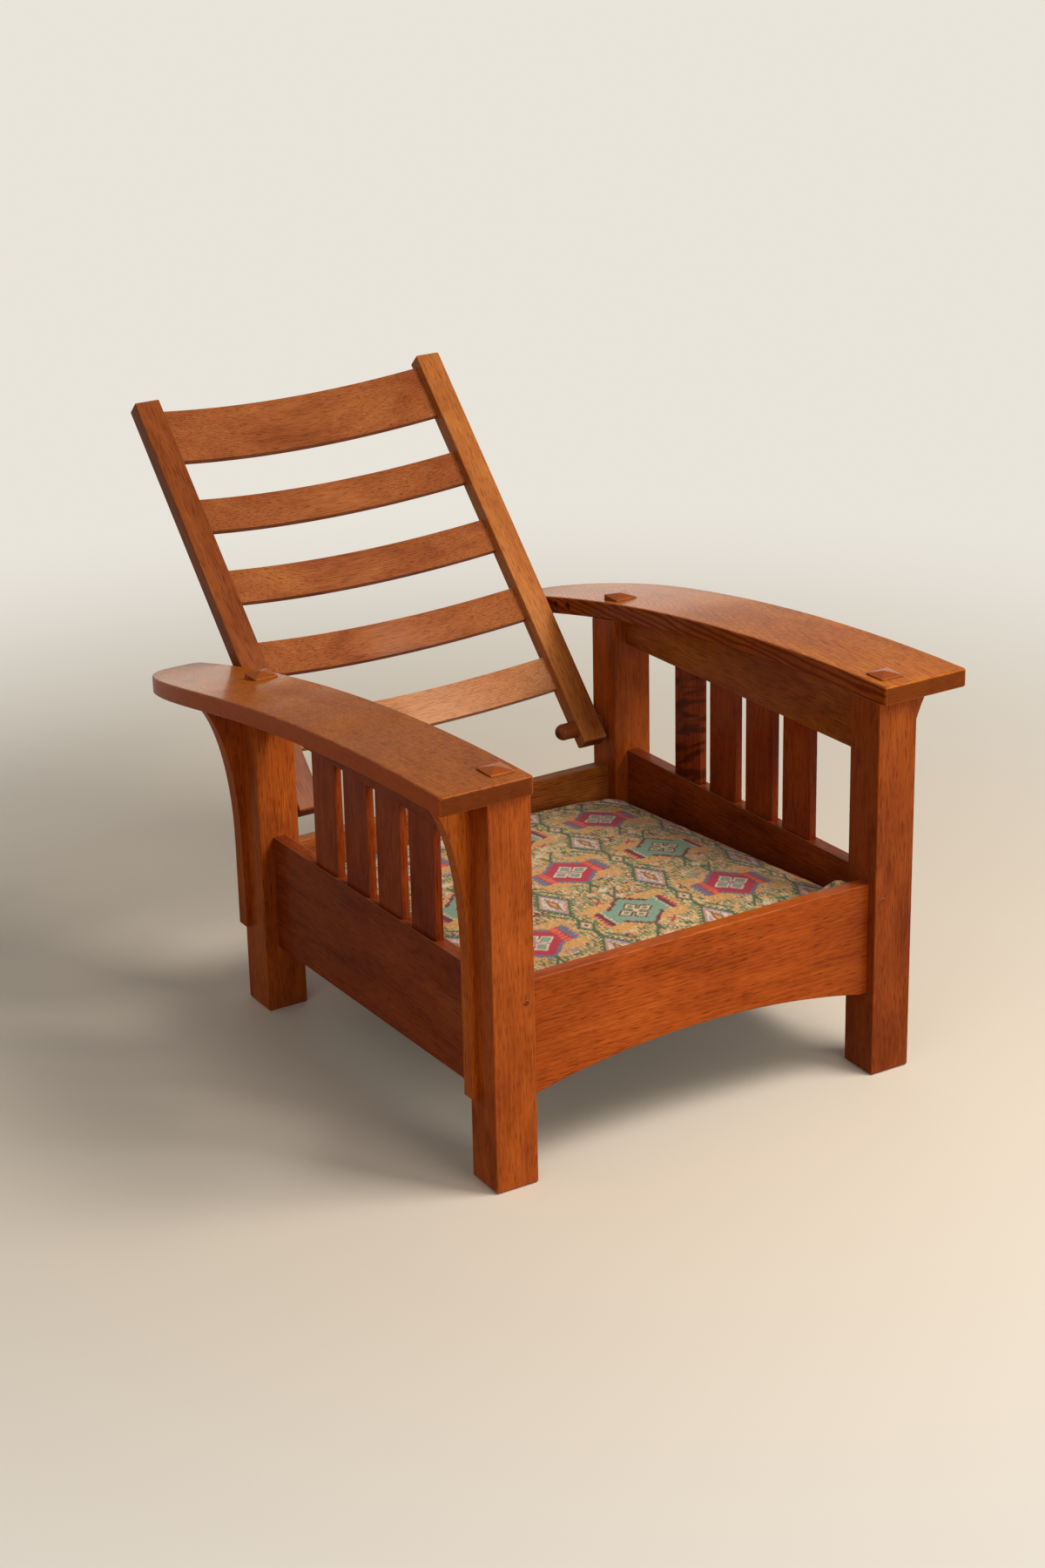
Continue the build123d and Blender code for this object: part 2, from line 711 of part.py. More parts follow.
def front_cleat_screws(gap=0):
    """Screws through the front cleat into the front rail."""
    screw = Rot(X=90) * wood_screw(front_cleat_thickness + screw_bite, gap)
    y = front_rail_rear_y + front_cleat_thickness
    z = front_cleat_top(y) - cleat_height / 2
    half = leg_inner_x - cleat_end_gap
    return [Pos(half * (2 * share - 1), y, z) * screw for share in spread(cleat_screw_count, screw_end_share)]


def front_cleat():
    """Bearer screwed behind the front rail, its top planed to the deck's tilt."""
    front_y, rear_y = front_rail_rear_y, front_rail_rear_y + front_cleat_thickness
    outline = Polyline(
        (front_y, front_cleat_top(front_y)),
        (rear_y, front_cleat_top(rear_y)),
        (rear_y, front_cleat_top(rear_y) - cleat_height),
        (front_y, front_cleat_top(rear_y) - cleat_height),
        close=True,
    )
    bar = extrude(make_face(Plane.YZ * outline), amount=leg_inner_x - cleat_end_gap, both=True)
    return bar - front_cleat_screws(screw_gap)


def build_chair():
    """Every piece of the chair by node name, in the frame in which it is built."""
    chair = {"front_rail": front_rail(), "rear_rail": rear_rail()}
    on_the_left = {
        "leg_front": front_leg(),
        "leg_rear": rear_leg(),
        "arm": arm(),
        "side_top_rail": side_top_rail(),
        "side_bottom_rail": side_bottom_rail(),
        "corbel_front": corbel(front_leg_y),
        "corbel_rear": corbel(rear_leg_y),
        "back_stile": back_stile(),
        "spacer_disc": spacer_disc(),
        "pivot_peg": pivot_peg(),
        "support_peg": support_peg(),
        "seat_cleat": side_cleat(),
    }
    for n, middle_y in enumerate(slat_middles(), start=1):
        on_the_left[f"side_slat_{n}"] = side_slat(middle_y)
    for name, piece in on_the_left.items():
        for side_name, side in sides.items():
            chair[f"{name}_{side_name}"] = on_side(piece, side)
    for n, (bottom, width) in enumerate(back_slat_sizes(), start=1):
        chair[f"back_slat_{n}"] = back_slat(bottom, width)
    for name, board in seat_boards().items():
        chair[f"seat_board_{name}"] = board
    chair["seat_webbing_lengthwise"] = seat_webbing(True)
    chair["seat_webbing_crosswise"] = seat_webbing(False)
    chair["seat_padding"] = seat_padding()
    chair["seat_cover"] = seat_cover()
    chair["seat_dust_cover"] = seat_dust_cover()
    chair["seat_cleat_front"] = front_cleat()
    pins = [on_side(tenon_pin(), side) for side in sides.values()]
    cleat_screws = [on_side(screw, side) for screw in side_cleat_screws() for side in sides.values()]
    chair["tenon_pins"] = Compound(children=pins)
    chair["seat_screws"] = Compound(children=seat_screws())
    chair["cleat_screws"] = Compound(children=cleat_screws + front_cleat_screws())
    return chair


# The origin ends up under the middle of the whole chair, on the floor.
chair = build_chair()
corners = [piece.bounding_box() for piece in chair.values()]
middle_y = (min(box.min.Y for box in corners) + max(box.max.Y for box in corners)) / 2
to_origin = Pos(0, -middle_y, 0)
for name, piece in chair.items():
    export_step(to_origin * piece, f"parts/{name}.step")
print(f"{len(chair)} nodes, moved forward by {middle_y:.2f} mm")
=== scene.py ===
import math

import bpy
import numpy as np
from mathutils import Matrix, Vector


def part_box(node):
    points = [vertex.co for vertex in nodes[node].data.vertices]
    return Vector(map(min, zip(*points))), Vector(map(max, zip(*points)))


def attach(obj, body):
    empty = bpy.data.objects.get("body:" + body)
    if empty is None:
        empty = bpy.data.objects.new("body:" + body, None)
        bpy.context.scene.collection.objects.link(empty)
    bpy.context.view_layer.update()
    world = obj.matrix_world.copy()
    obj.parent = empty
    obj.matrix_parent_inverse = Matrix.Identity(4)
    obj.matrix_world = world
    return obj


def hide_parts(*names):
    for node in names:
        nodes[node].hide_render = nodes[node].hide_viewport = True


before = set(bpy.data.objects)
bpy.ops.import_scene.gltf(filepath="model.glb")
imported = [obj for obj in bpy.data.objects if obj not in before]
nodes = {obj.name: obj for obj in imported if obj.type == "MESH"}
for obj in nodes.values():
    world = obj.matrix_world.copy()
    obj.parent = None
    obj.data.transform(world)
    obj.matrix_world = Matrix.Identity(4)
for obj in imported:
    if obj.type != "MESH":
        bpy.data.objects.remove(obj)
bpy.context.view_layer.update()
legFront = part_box("leg_front_left")[0].y        # the front legs' front face, which places are given from
mm = 0.001


def srgb(hexColour):
    # linear = ((s + 0.055) / 1.055) ^ 2.4 above 0.04045, else s / 12.92
    parts = [int(hexColour[n:n + 2], 16) / 255 for n in (1, 3, 5)]
    return [((s + 0.055) / 1.055) ** 2.4 if s > 0.04045 else s / 12.92 for s in parts] + [1.0]


def addNode(tree, kind, links=None, **settings):
    # one node; settings name a property or an input's value, links give inputs their sources or plain values
    node = tree.nodes.new(kind)
    for key, value in settings.items():
        if hasattr(node, key):
            setattr(node, key, value)
        else:
            node.inputs[key.replace("_", " ")].default_value = value
    for key, source in (links or {}).items():
        if isinstance(source, bpy.types.NodeSocket):
            tree.links.new(source, node.inputs[key])
        else:
            node.inputs[key].default_value = source
    return node


def waveScale(spacing):
    # a wave texture repeats every tau / 20 / scale metres; the spacing is in mm
    return math.tau / 20 / (spacing * mm)


def fromRange(limits):
    return {"From_Min": limits[0], "From_Max": limits[1]}


def toRange(limits):
    return {"To_Min": limits[0], "To_Max": limits[1]}


def newMaterial(name):
    material = bpy.data.materials.new(name)
    material.use_nodes = True
    material.node_tree.nodes.clear()
    return material, material.node_tree


def ramp(tree, source, stops):
    # colour ramp through (place, hex) stops
    node = addNode(tree, "ShaderNodeValToRGB", {"Fac": source})
    bar = node.color_ramp.elements
    while len(bar) < len(stops):
        bar.new(0.5)
    for element, (place, hexColour) in zip(bar, stops):
        element.position = place
        element.color = srgb(hexColour)
    return node.outputs["Color"]


def newPiece(name, points, faces):
    mesh = bpy.data.meshes.new(name)
    mesh.from_pydata(points, [], faces)
    piece = bpy.data.objects.new(name, mesh)
    bpy.context.scene.collection.objects.link(piece)
    return piece


def setMaterial(piece, material):
    piece.data.materials.clear()
    piece.data.materials.append(material)


# Quarter-sawn white oak, fumed and stained a warm red brown under a satin wax finish. The eye gets long
# fibre streaks, soft growth rings, dark open pores, cloudy stain and a low sheen that fades the colour
# where the light skims it.
# Over the wood lie lighter arrises, partly wear and partly painted highlight, and a painted glint where an
# arris looks up.
oak = {
    "firstSeed": 100,
    "ringSpacing": 3.6,            # mm between growth rings
    "ringRun": 0.07,               # how much slower the rings change along the grain than across it
    "ringWander": 9.0,             # how far the rings stray, times the board's figure
    "pithAway": (75.0, 40.0),      # mm from a board to the middle of its tree
    "pithSpread": (0.7, 1.3),
    "fibreWidth": 1.7,             # mm, coarser than real fibre so that it shows
    "fibreRun": 0.022,
    "poreWidth": 1.1,              # mm, drawn wider than a real pore
    "poreRun": 0.05,
    "poreRange": (0.56, 0.66), "poreShare": 0.66,
    "cloudSize": 60.0,             # mm
    "cloudRun": 0.35,
    "shares": (0.20, 0.52, 0.80),  # of rings, fibre and cloud in the tone
    "toneRange": (0.38, 1.05),
    "stops": (0.0, 0.34, 0.62, 1.0),
    "fleckTilt": -0.42, "fleckRun": (5.0, 5.0, 0.85), "fleckRange": (0.44, 0.60),
    "endRange": (0.75, 1.0), "endShare": 0.75,
    "edgeLine": 10.0,              # mm between the lines in the arms' edges
    "edgeRun": 0.16, "edgeWander": 9.0, "edgeRange": (0.35, 0.9), "edgeFacing": (0.5, 0.8),
    "arrisRadius": 1.5,            # mm, the hand-eased arris on every board
    # arrises painted lighter, partly wear and partly painted highlight
    "wearAndHighlightRange": (0.98, 0.88), "wearAndHighlightShare": 0.6,
    # painted highlight: a pale colour laid on arrises that look up, where the lamps would glint
    "paintedGlint": "#dca680", "paintedGlintRise": (0.2, 0.5), "paintedGlintShare": 1.2,
    "fibreRange": (0.3, 0.7), "roughness": (0.48, 0.36),
    "reliefStrength": 0.25, "reliefDepth": 0.25,
    "coat": 0.13, "coatRoughness": 0.14, "specular": 0.02,
}
oakTones = {                       # dark, low, middle and light tone of each kind of part, and lit and shaded copies for single parts
    "arm": ("#56230a", "#954a12", "#b15e16", "#c9781f"),
    "leg": ("#64290f", "#a04e1d", "#ba6023", "#cc782c"),
    # painted light: a lighter copy of the legs' tones for the near front corbel; the other corbels keep the
    # legs' tones
    "corbel": ("#6a2c0f", "#ae581f", "#c66a26", "#d88230"),
    # painted shade: a darker copy of the legs' tones for the far front leg
    "legFarShaded": ("#56220c", "#88401a", "#9c4e1e", "#ac6228"),
    "rail": ("#5c220d", "#9c4819", "#b4571e", "#c86c27"),
    # painted light: a lighter copy of the rails' tones for the far side's top rail and the rear rail
    "farRailLit": ("#56230d", "#8a4a1e", "#a65e28", "#ba7434"),
    "sideRail": ("#42180c", "#7c3414", "#93441c", "#a65624"),
    "slat": ("#42190b", "#843414", "#9c4418", "#ae5820"),
    "back": ("#582813", "#8c4a26", "#a45e32", "#bc7642"),
    # painted sheen: a paler copy of the back's tones for the lowest back slat
    "backSheen": ("#7c4628", "#b47448", "#c98a5a", "#d69c6c"),
    # painted light and shade: a lighter copy of one stile's tones for the far stile and a darker one for the
    # near stile
    "stileFarLit": ("#6a3218", "#a86230", "#c0783c", "#d08e4e"),
    "stileNearShaded": ("#50220e", "#80401a", "#965024", "#aa6430"),
    "peg": ("#42190c", "#74351a", "#8f4a24", "#a66032"),
    "plain": ("#8a6a45", "#b08c5e", "#c5a374", "#d2b384"),
}
# Where the wood is darker towards one end: object axis, from and to in m, and share of the dark tone
darkerEnds = {
    "front_rail": ("X", 0.16, 0.28, 0.30),
    "arm_right": ("Y", 0.05, -0.34, 0.24),
}
armEdges = {                       # colour of an arm's sawn edges, with its least and greatest share
    # the far arm's edges are painted darker and the near arm's lighter: painted shade and painted light over
    # the sawn figure
    "arm_left": ("#74260b", 0.4, 0.95),
    "arm_right": ("#b44a10", 0.45, 0.75),
}
grainTurns = {                     # turns that bring the board's length onto the texture's Z
    "x": (0.0, -math.pi / 2, 0.0),
    "y": (math.pi / 2, 0.0, 0.0),
    "z": (0.0, 0.0, 0.0),
    "lean": (math.radians(44.25), 0.0, 0.0),
}


def oakGrain(tree, along, shift, pith, figure):
    # tone = ring share * figure * rings + fibre share * fibre + cloud share * cloud, each texture drawn out
    # along the grain
    ringPlace = addNode(tree, "ShaderNodeMapping", {"Vector": along}, Location=pith + [0, 0, shift[2]],
                        Scale=(1.0, 1.0, oak["ringRun"])).outputs["Vector"]
    rings = addNode(tree, "ShaderNodeTexWave", {"Vector": ringPlace}, wave_type="RINGS", rings_direction="Z",
                    wave_profile="SAW", Scale=waveScale(oak["ringSpacing"]),
                    Distortion=oak["ringWander"] * figure, Detail=2.0, Detail_Scale=0.35,
                    Detail_Roughness=0.55).outputs["Fac"]
    fibrePlace = addNode(tree, "ShaderNodeMapping", {"Vector": along}, Location=shift,
                         Scale=(1.0, 1.0, oak["fibreRun"])).outputs["Vector"]
    fibre = addNode(tree, "ShaderNodeTexNoise", {"Vector": fibrePlace}, Scale=1 / (oak["fibreWidth"] * mm),
                    Detail=3.0, Roughness=0.6).outputs["Fac"]
    cloudPlace = addNode(tree, "ShaderNodeMapping", {"Vector": along}, Location=shift * 3,
                         Scale=(1.0, 1.0, oak["cloudRun"])).outputs["Vector"]
    cloud = addNode(tree, "ShaderNodeTexNoise", {"Vector": cloudPlace}, Scale=1 / (oak["cloudSize"] * mm),
                    Detail=4.0, Roughness=0.6, Distortion=0.6).outputs["Fac"]
    ringShare, fibreShare, cloudShare = oak["shares"]
    ringPart = addNode(tree, "ShaderNodeMath", {0: rings, 1: ringShare * figure}, operation="MULTIPLY")
    fibrePart = addNode(tree, "ShaderNodeMath", {0: fibre, 1: fibreShare, 2: ringPart.outputs[0]},
                        operation="MULTIPLY_ADD")
    tone = addNode(tree, "ShaderNodeMath", {0: cloud, 1: cloudShare, 2: fibrePart.outputs[0]},
                   operation="MULTIPLY_ADD").outputs[0]
    return fibre, tone


def openPores(tree, along, shift):
    porePlace = addNode(tree, "ShaderNodeMapping", {"Vector": along}, Location=-shift,
                        Scale=(1.0, 1.0, oak["poreRun"])).outputs["Vector"]
    pores = addNode(tree, "ShaderNodeTexNoise", {"Vector": porePlace}, Scale=1 / (oak["poreWidth"] * mm),
                    Detail=1.0).outputs["Fac"]
    return addNode(tree, "ShaderNodeMapRange", {"Value": pores}, To_Max=oak["poreShare"],
                   **fromRange(oak["poreRange"])).outputs["Result"]


def rayFleck(tree, along, shift, fleckShare, fleckSize):
    # bands that cross the grain at a slant
    fleckPlace = addNode(tree, "ShaderNodeMapping", {"Vector": along}, vector_type="TEXTURE", Location=shift,
                         Rotation=(oak["fleckTilt"], 0.0, 0.0), Scale=oak["fleckRun"]).outputs["Vector"]
    bands = addNode(tree, "ShaderNodeTexNoise", {"Vector": fleckPlace}, Scale=1 / (fleckSize * mm),
                    Detail=1.5, Distortion=0.5).outputs["Fac"]
    return addNode(tree, "ShaderNodeMapRange", {"Value": bands}, To_Max=fleckShare,
                   **fromRange(oak["fleckRange"])).outputs["Result"]


def darkerEnd(tree, place, axis, fadeFrom, fadeTo, fadeShare):
    across = addNode(tree, "ShaderNodeSeparateXYZ", {"Vector": place}).outputs[axis]
    return addNode(tree, "ShaderNodeMapRange", {"Value": across}, From_Min=fadeFrom, From_Max=fadeTo,
                   To_Max=fadeShare).outputs["Result"]


def endGrain(tree, normal, grain):
    # share = |normal along the grain| over the end range
    turned = addNode(tree, "ShaderNodeMapping", {"Vector": normal}, vector_type="VECTOR",
                     Rotation=grainTurns[grain]).outputs["Vector"]
    lengthwise = addNode(tree, "ShaderNodeSeparateXYZ", {"Vector": turned}).outputs["Z"]
    steep = addNode(tree, "ShaderNodeMath", {0: lengthwise}, operation="ABSOLUTE").outputs[0]
    return addNode(tree, "ShaderNodeMapRange", {"Value": steep}, To_Max=oak["endShare"],
                   **fromRange(oak["endRange"])).outputs["Result"]


def sawnEdge(tree, place, normal, low, high):
    # an arm's edges are sawn through the growth rings: share = |normal across| * (low to high with the line)
    edgePlace = addNode(tree, "ShaderNodeMapping", {"Vector": place},
                        Scale=(1.0, oak["edgeRun"], 1.0)).outputs["Vector"]
    lines = addNode(tree, "ShaderNodeTexWave", {"Vector": edgePlace}, wave_type="BANDS", bands_direction="Z",
                    Scale=waveScale(oak["edgeLine"]), Distortion=oak["edgeWander"], Detail=2.0,
                    Detail_Scale=0.9).outputs["Fac"]
    lineShare = addNode(tree, "ShaderNodeMapRange", {"Value": lines}, To_Min=low, To_Max=high,
                        **fromRange(oak["edgeRange"])).outputs["Result"]
    sideways = addNode(tree, "ShaderNodeSeparateXYZ", {"Vector": normal}).outputs["X"]
    steep = addNode(tree, "ShaderNodeMath", {0: sideways}, operation="ABSOLUTE").outputs[0]
    onEdge = addNode(tree, "ShaderNodeMapRange", {"Value": steep},
                     **fromRange(oak["edgeFacing"])).outputs["Result"]
    return addNode(tree, "ShaderNodeMath", {0: lineShare, 1: onEdge}, operation="MULTIPLY").outputs[0]


def easedArrises(tree):
    # the arris share = how far the eased normal turns from the flat one: a lighter arris, partly wear and
    # partly painted highlight. An arris that looks up gets a painted glint as well: its share = arris share *
    # height of the eased normal over the rise
    eased = addNode(tree, "ShaderNodeBevel", samples=4, Radius=oak["arrisRadius"] * mm).outputs["Normal"]
    facing = addNode(tree, "ShaderNodeNewGeometry").outputs["Normal"]
    cosine = addNode(tree, "ShaderNodeVectorMath", {0: eased, 1: facing},
                     operation="DOT_PRODUCT").outputs["Value"]
    wearAndHighlight = addNode(tree, "ShaderNodeMapRange", {"Value": cosine}, To_Max=oak["wearAndHighlightShare"],
                   **fromRange(oak["wearAndHighlightRange"])).outputs["Result"]
    upward = addNode(tree, "ShaderNodeSeparateXYZ", {"Vector": eased}).outputs["Z"]
    rise = addNode(tree, "ShaderNodeMapRange", {"Value": upward}, To_Max=oak["paintedGlintShare"],
                   **fromRange(oak["paintedGlintRise"])).outputs["Result"]
    paintedGlint = addNode(tree, "ShaderNodeMath", {0: wearAndHighlight, 1: rise}, operation="MULTIPLY").outputs[0]
    return eased, wearAndHighlight, paintedGlint


def stainedOak(name, tones, grain, number, fleck, figure, fade, edge):
    # the grain's tone goes through a four-stop ramp, and stains and painted highlights are laid over it in
    # turn, each by its share. End grain is dark on the boards and has the arm's tone on the legs' points.
    dark, low, middle, light = oakTones[tones]
    material, tree = newMaterial(name)
    place = addNode(tree, "ShaderNodeTexCoord").outputs["Object"]
    normal = addNode(tree, "ShaderNodeTexCoord").outputs["Normal"]
    rng = np.random.default_rng(oak["firstSeed"] + number)
    shift = rng.uniform(-1.0, 1.0, 3)
    pith = np.array([*oak["pithAway"], 0.0]) * mm * rng.choice([-1, 1], 3) * rng.uniform(*oak["pithSpread"])
    along = addNode(tree, "ShaderNodeMapping", {"Vector": place},
                    Rotation=grainTurns[grain]).outputs["Vector"]
    fibre, tone = oakGrain(tree, along, shift, pith, figure)
    poreShare = openPores(tree, along, shift)
    eased, wearAndHighlight, paintedGlint = easedArrises(tree)
    stainsAndHighlights = []
    if fleck:
        stainsAndHighlights.append((rayFleck(tree, along, shift, *fleck[:2]), oakTones[tones][fleck[2]]))
    if fade:
        stainsAndHighlights.append((darkerEnd(tree, place, *fade), dark))
    stainsAndHighlights.append((poreShare, dark))
    stainsAndHighlights.append((endGrain(tree, normal, grain), oakTones["arm"][1] if grain == "z" else dark))
    if edge:
        stainsAndHighlights.append((sawnEdge(tree, place, normal, *edge[1:]), edge[0]))
    # arrises lighter as wear and painted highlight, then a painted glint on those that look up
    stainsAndHighlights += [(wearAndHighlight, light), (paintedGlint, oak["paintedGlint"])]
    spread = addNode(tree, "ShaderNodeMapRange", {"Value": tone}, **fromRange(oak["toneRange"]))
    colour = ramp(tree, spread.outputs["Result"], list(zip(oak["stops"], (dark, low, middle, light))))
    for share, stainOrHighlightColour in stainsAndHighlights:
        colour = addNode(tree, "ShaderNodeMix", {0: share, 6: colour, 7: srgb(stainOrHighlightColour)},
                         data_type="RGBA").outputs[2]
    roughness = addNode(tree, "ShaderNodeMapRange", {"Value": fibre}, **fromRange(oak["fibreRange"]),
                        **toRange(oak["roughness"])).outputs["Result"]
    relief = addNode(tree, "ShaderNodeMath", {0: poreShare, 1: fibre}, operation="SUBTRACT").outputs[0]
    bump = addNode(tree, "ShaderNodeBump", {"Height": relief, "Normal": eased}, invert=True,
                   Strength=oak["reliefStrength"], Distance=oak["reliefDepth"] * mm).outputs["Normal"]
    surface = addNode(tree, "ShaderNodeBsdfPrincipled",
                      {"Base Color": colour, "Roughness": roughness, "Normal": bump}, Coat_Weight=oak["coat"],
                      Coat_Roughness=oak["coatRoughness"], Specular_IOR_Level=oak["specular"])
    addNode(tree, "ShaderNodeOutputMaterial", {"Surface": surface.outputs[0]})
    return material


# Screws, webbing and cambric: a fine noise between two tones. Sizes are in mm.
plainFinishes = {
    "steelScrew": {"tones": ("#8d8f90", "#a9abab"), "roughness": 0.38, "speck": 2.0, "metallic": 1.0},
    "juteWebbing": {"tones": ("#9c7f52", "#bfa273"), "roughness": 0.9, "speck": 1.5, "thread": 1.6},
    "blackCambric": {"tones": ("#1d1c1b", "#2c2a28"), "roughness": 0.9, "speck": 1.2, "thread": 0.9},
}


def plainFinish(name):
    # the noise goes through a two-stop ramp; a woven finish has the ribs of its thread both ways as well
    finish = plainFinishes[name]
    material, tree = newMaterial(name)
    place = addNode(tree, "ShaderNodeTexCoord").outputs["Object"]
    height = addNode(tree, "ShaderNodeTexNoise", {"Vector": place}, Scale=1 / (finish["speck"] * mm),
                     Detail=3.0).outputs["Fac"]
    colour = ramp(tree, height, list(zip((0.3, 0.7), finish["tones"])))
    if "thread" in finish:
        warp, weft = [addNode(tree, "ShaderNodeTexWave", {"Vector": place}, bands_direction=direction,
                              Scale=waveScale(2 * finish["thread"])).outputs["Fac"] for direction in "XY"]
        ribs = addNode(tree, "ShaderNodeMath", {0: warp, 1: weft}, operation="MULTIPLY").outputs[0]
        height = addNode(tree, "ShaderNodeMath", {0: ribs, 1: height}, operation="ADD").outputs[0]
    bump = addNode(tree, "ShaderNodeBump", {"Height": height}, Strength=0.2, Distance=0.2 * mm)
    surface = addNode(tree, "ShaderNodeBsdfPrincipled",
                      {"Base Color": colour, "Normal": bump.outputs["Normal"]},
                      Roughness=finish["roughness"], Metallic=finish.get("metallic", 0.0))
    addNode(tree, "ShaderNodeOutputMaterial", {"Surface": surface.outputs[0]})
    return material


# Which finish and grain direction each wooden part has: start of its name, tones, grain, ray fleck as
# (share, mm, place of its tone among the four) and figure
woodenParts = [
    ("arm_left", "arm", "y", (0.28, 3.2, 3), 1.2),
    ("arm_", "arm", "y", (0.4, 3.2, 3), 0.8),
    ("leg_front_left", "legFarShaded", "z", None, 0.25),
    ("leg_", "leg", "z", None, 0.25),
    ("corbel_front_right", "corbel", "z", None, 0.4),
    ("corbel_", "leg", "z", None, 0.4),
    ("side_top_rail_left", "farRailLit", "y", None, 0.9),
    ("side_top_rail_", "sideRail", "y", None, 0.8),
    ("side_bottom_rail_", "sideRail", "y", None, 0.8),
    ("side_slat_4_left", "slat", "z", (0.75, 13.0, 0), 0.6),
    ("side_slat_", "slat", "z", None, 0.5),
    ("front_rail", "rail", "x", None, 0.8),
    ("rear_rail", "farRailLit", "x", None, 1.0),
    # the lowest back slat takes the paler tones of painted sheen
    ("back_slat_1", "backSheen", "x", None, 0.9),
    ("back_slat_", "back", "x", None, 1.0),
    ("back_stile_left", "stileFarLit", "lean", None, 0.6),
    ("back_stile_", "stileNearShaded", "lean", None, 0.6),
    ("spacer_disc_", "peg", "z", None, 0.6),
    ("pivot_peg_", "peg", "x", None, 0.6),
    ("support_peg_", "peg", "x", None, 0.6),
    ("tenon_pins", "leg", "y", None, 0.6),
    ("seat_cleat_front", "plain", "x", None, 0.8),
    ("seat_cleat_", "plain", "y", None, 0.8),
    ("seat_board_front", "plain", "x", None, 0.8),
    ("seat_board_rear", "plain", "x", None, 0.8),
    ("seat_board_", "plain", "y", None, 0.8),
]
number = 0
for nodeName, nodeObject in nodes.items():
    for start, tones, grain, fleck, figure in woodenParts:
        if nodeName.startswith(start):
            number += 1
            setMaterial(nodeObject, stainedOak(f"stainedOak_{nodeName}", tones, grain, number, fleck, figure,
                                               darkerEnds.get(nodeName), armEdges.get(nodeName)))
            break
print("wood finished:", number, "parts")

for finishName, nodeNames in (("steelScrew", ("cleat_screws", "seat_screws")),
                              ("juteWebbing", ("seat_webbing_lengthwise", "seat_webbing_crosswise"))):
    finish = plainFinish(finishName)
    for nodeName in nodeNames:
        setMaterial(nodes[nodeName], finish)

# The seat deck: a wooden frame under a tight woven cloth, crowned both ways, with the cloth folded round
# its corners. Sizes are in mm.
deck = {
    "width": 602.0, "depth": 674.06, "edgeHeight": 38.0, "edgeRadius": 9.0,
    "crown": (11.0, 13.0),          # rise along the front and rear edges, and what the middle adds
    "front": 42.0, "underside": 247.6, "slope": 5.0,
    "cornerRadius": (12.0, 24.0),   # front and rear, seen from above
    "waist": 1.2,                   # how far a side pulls in between its corners
    "sideBand": 0.07,               # outer share of the half size that the waist draws in
    "sideFrom": 0.9,
    "stitch": 2.3, "nearEdge": 0.01,   # grid of the cloth, and how near its edge a point counts as on it
    "roundRings": 6, "sideRings": 9, "underRings": 8,
    "sideEnd": 2.0, "lowerEdge": ((0.6, 0.8), (2.0, 0.0)),   # in from the side, and up from the underside
    "foldedUnder": (7.0, 44.0),
    "cornerLift": (29.0, 3.0),      # fold of cloth that stands up in the sitter's left and right front corner
    "cornerLiftSize": 34.0, "cornerLiftIn": (22.0, 12.0), "cornerLiftRatio": 1.3,
    "sidePulls": (16.0, 1.3, 41.0), "endPulls": (15.0, 1.1, 37.0),   # short wave, its sway, long wave
    "pullReach": 16.0, "pullHeight": 0.35,
    "sink": 0.4,                    # kept clear of the neighbours
}
deckPlace = Matrix.Translation((0, legFront + deck["front"] * mm, deck["underside"] * mm)) @ \
    Matrix.Rotation(-math.radians(deck["slope"]), 4, "X")
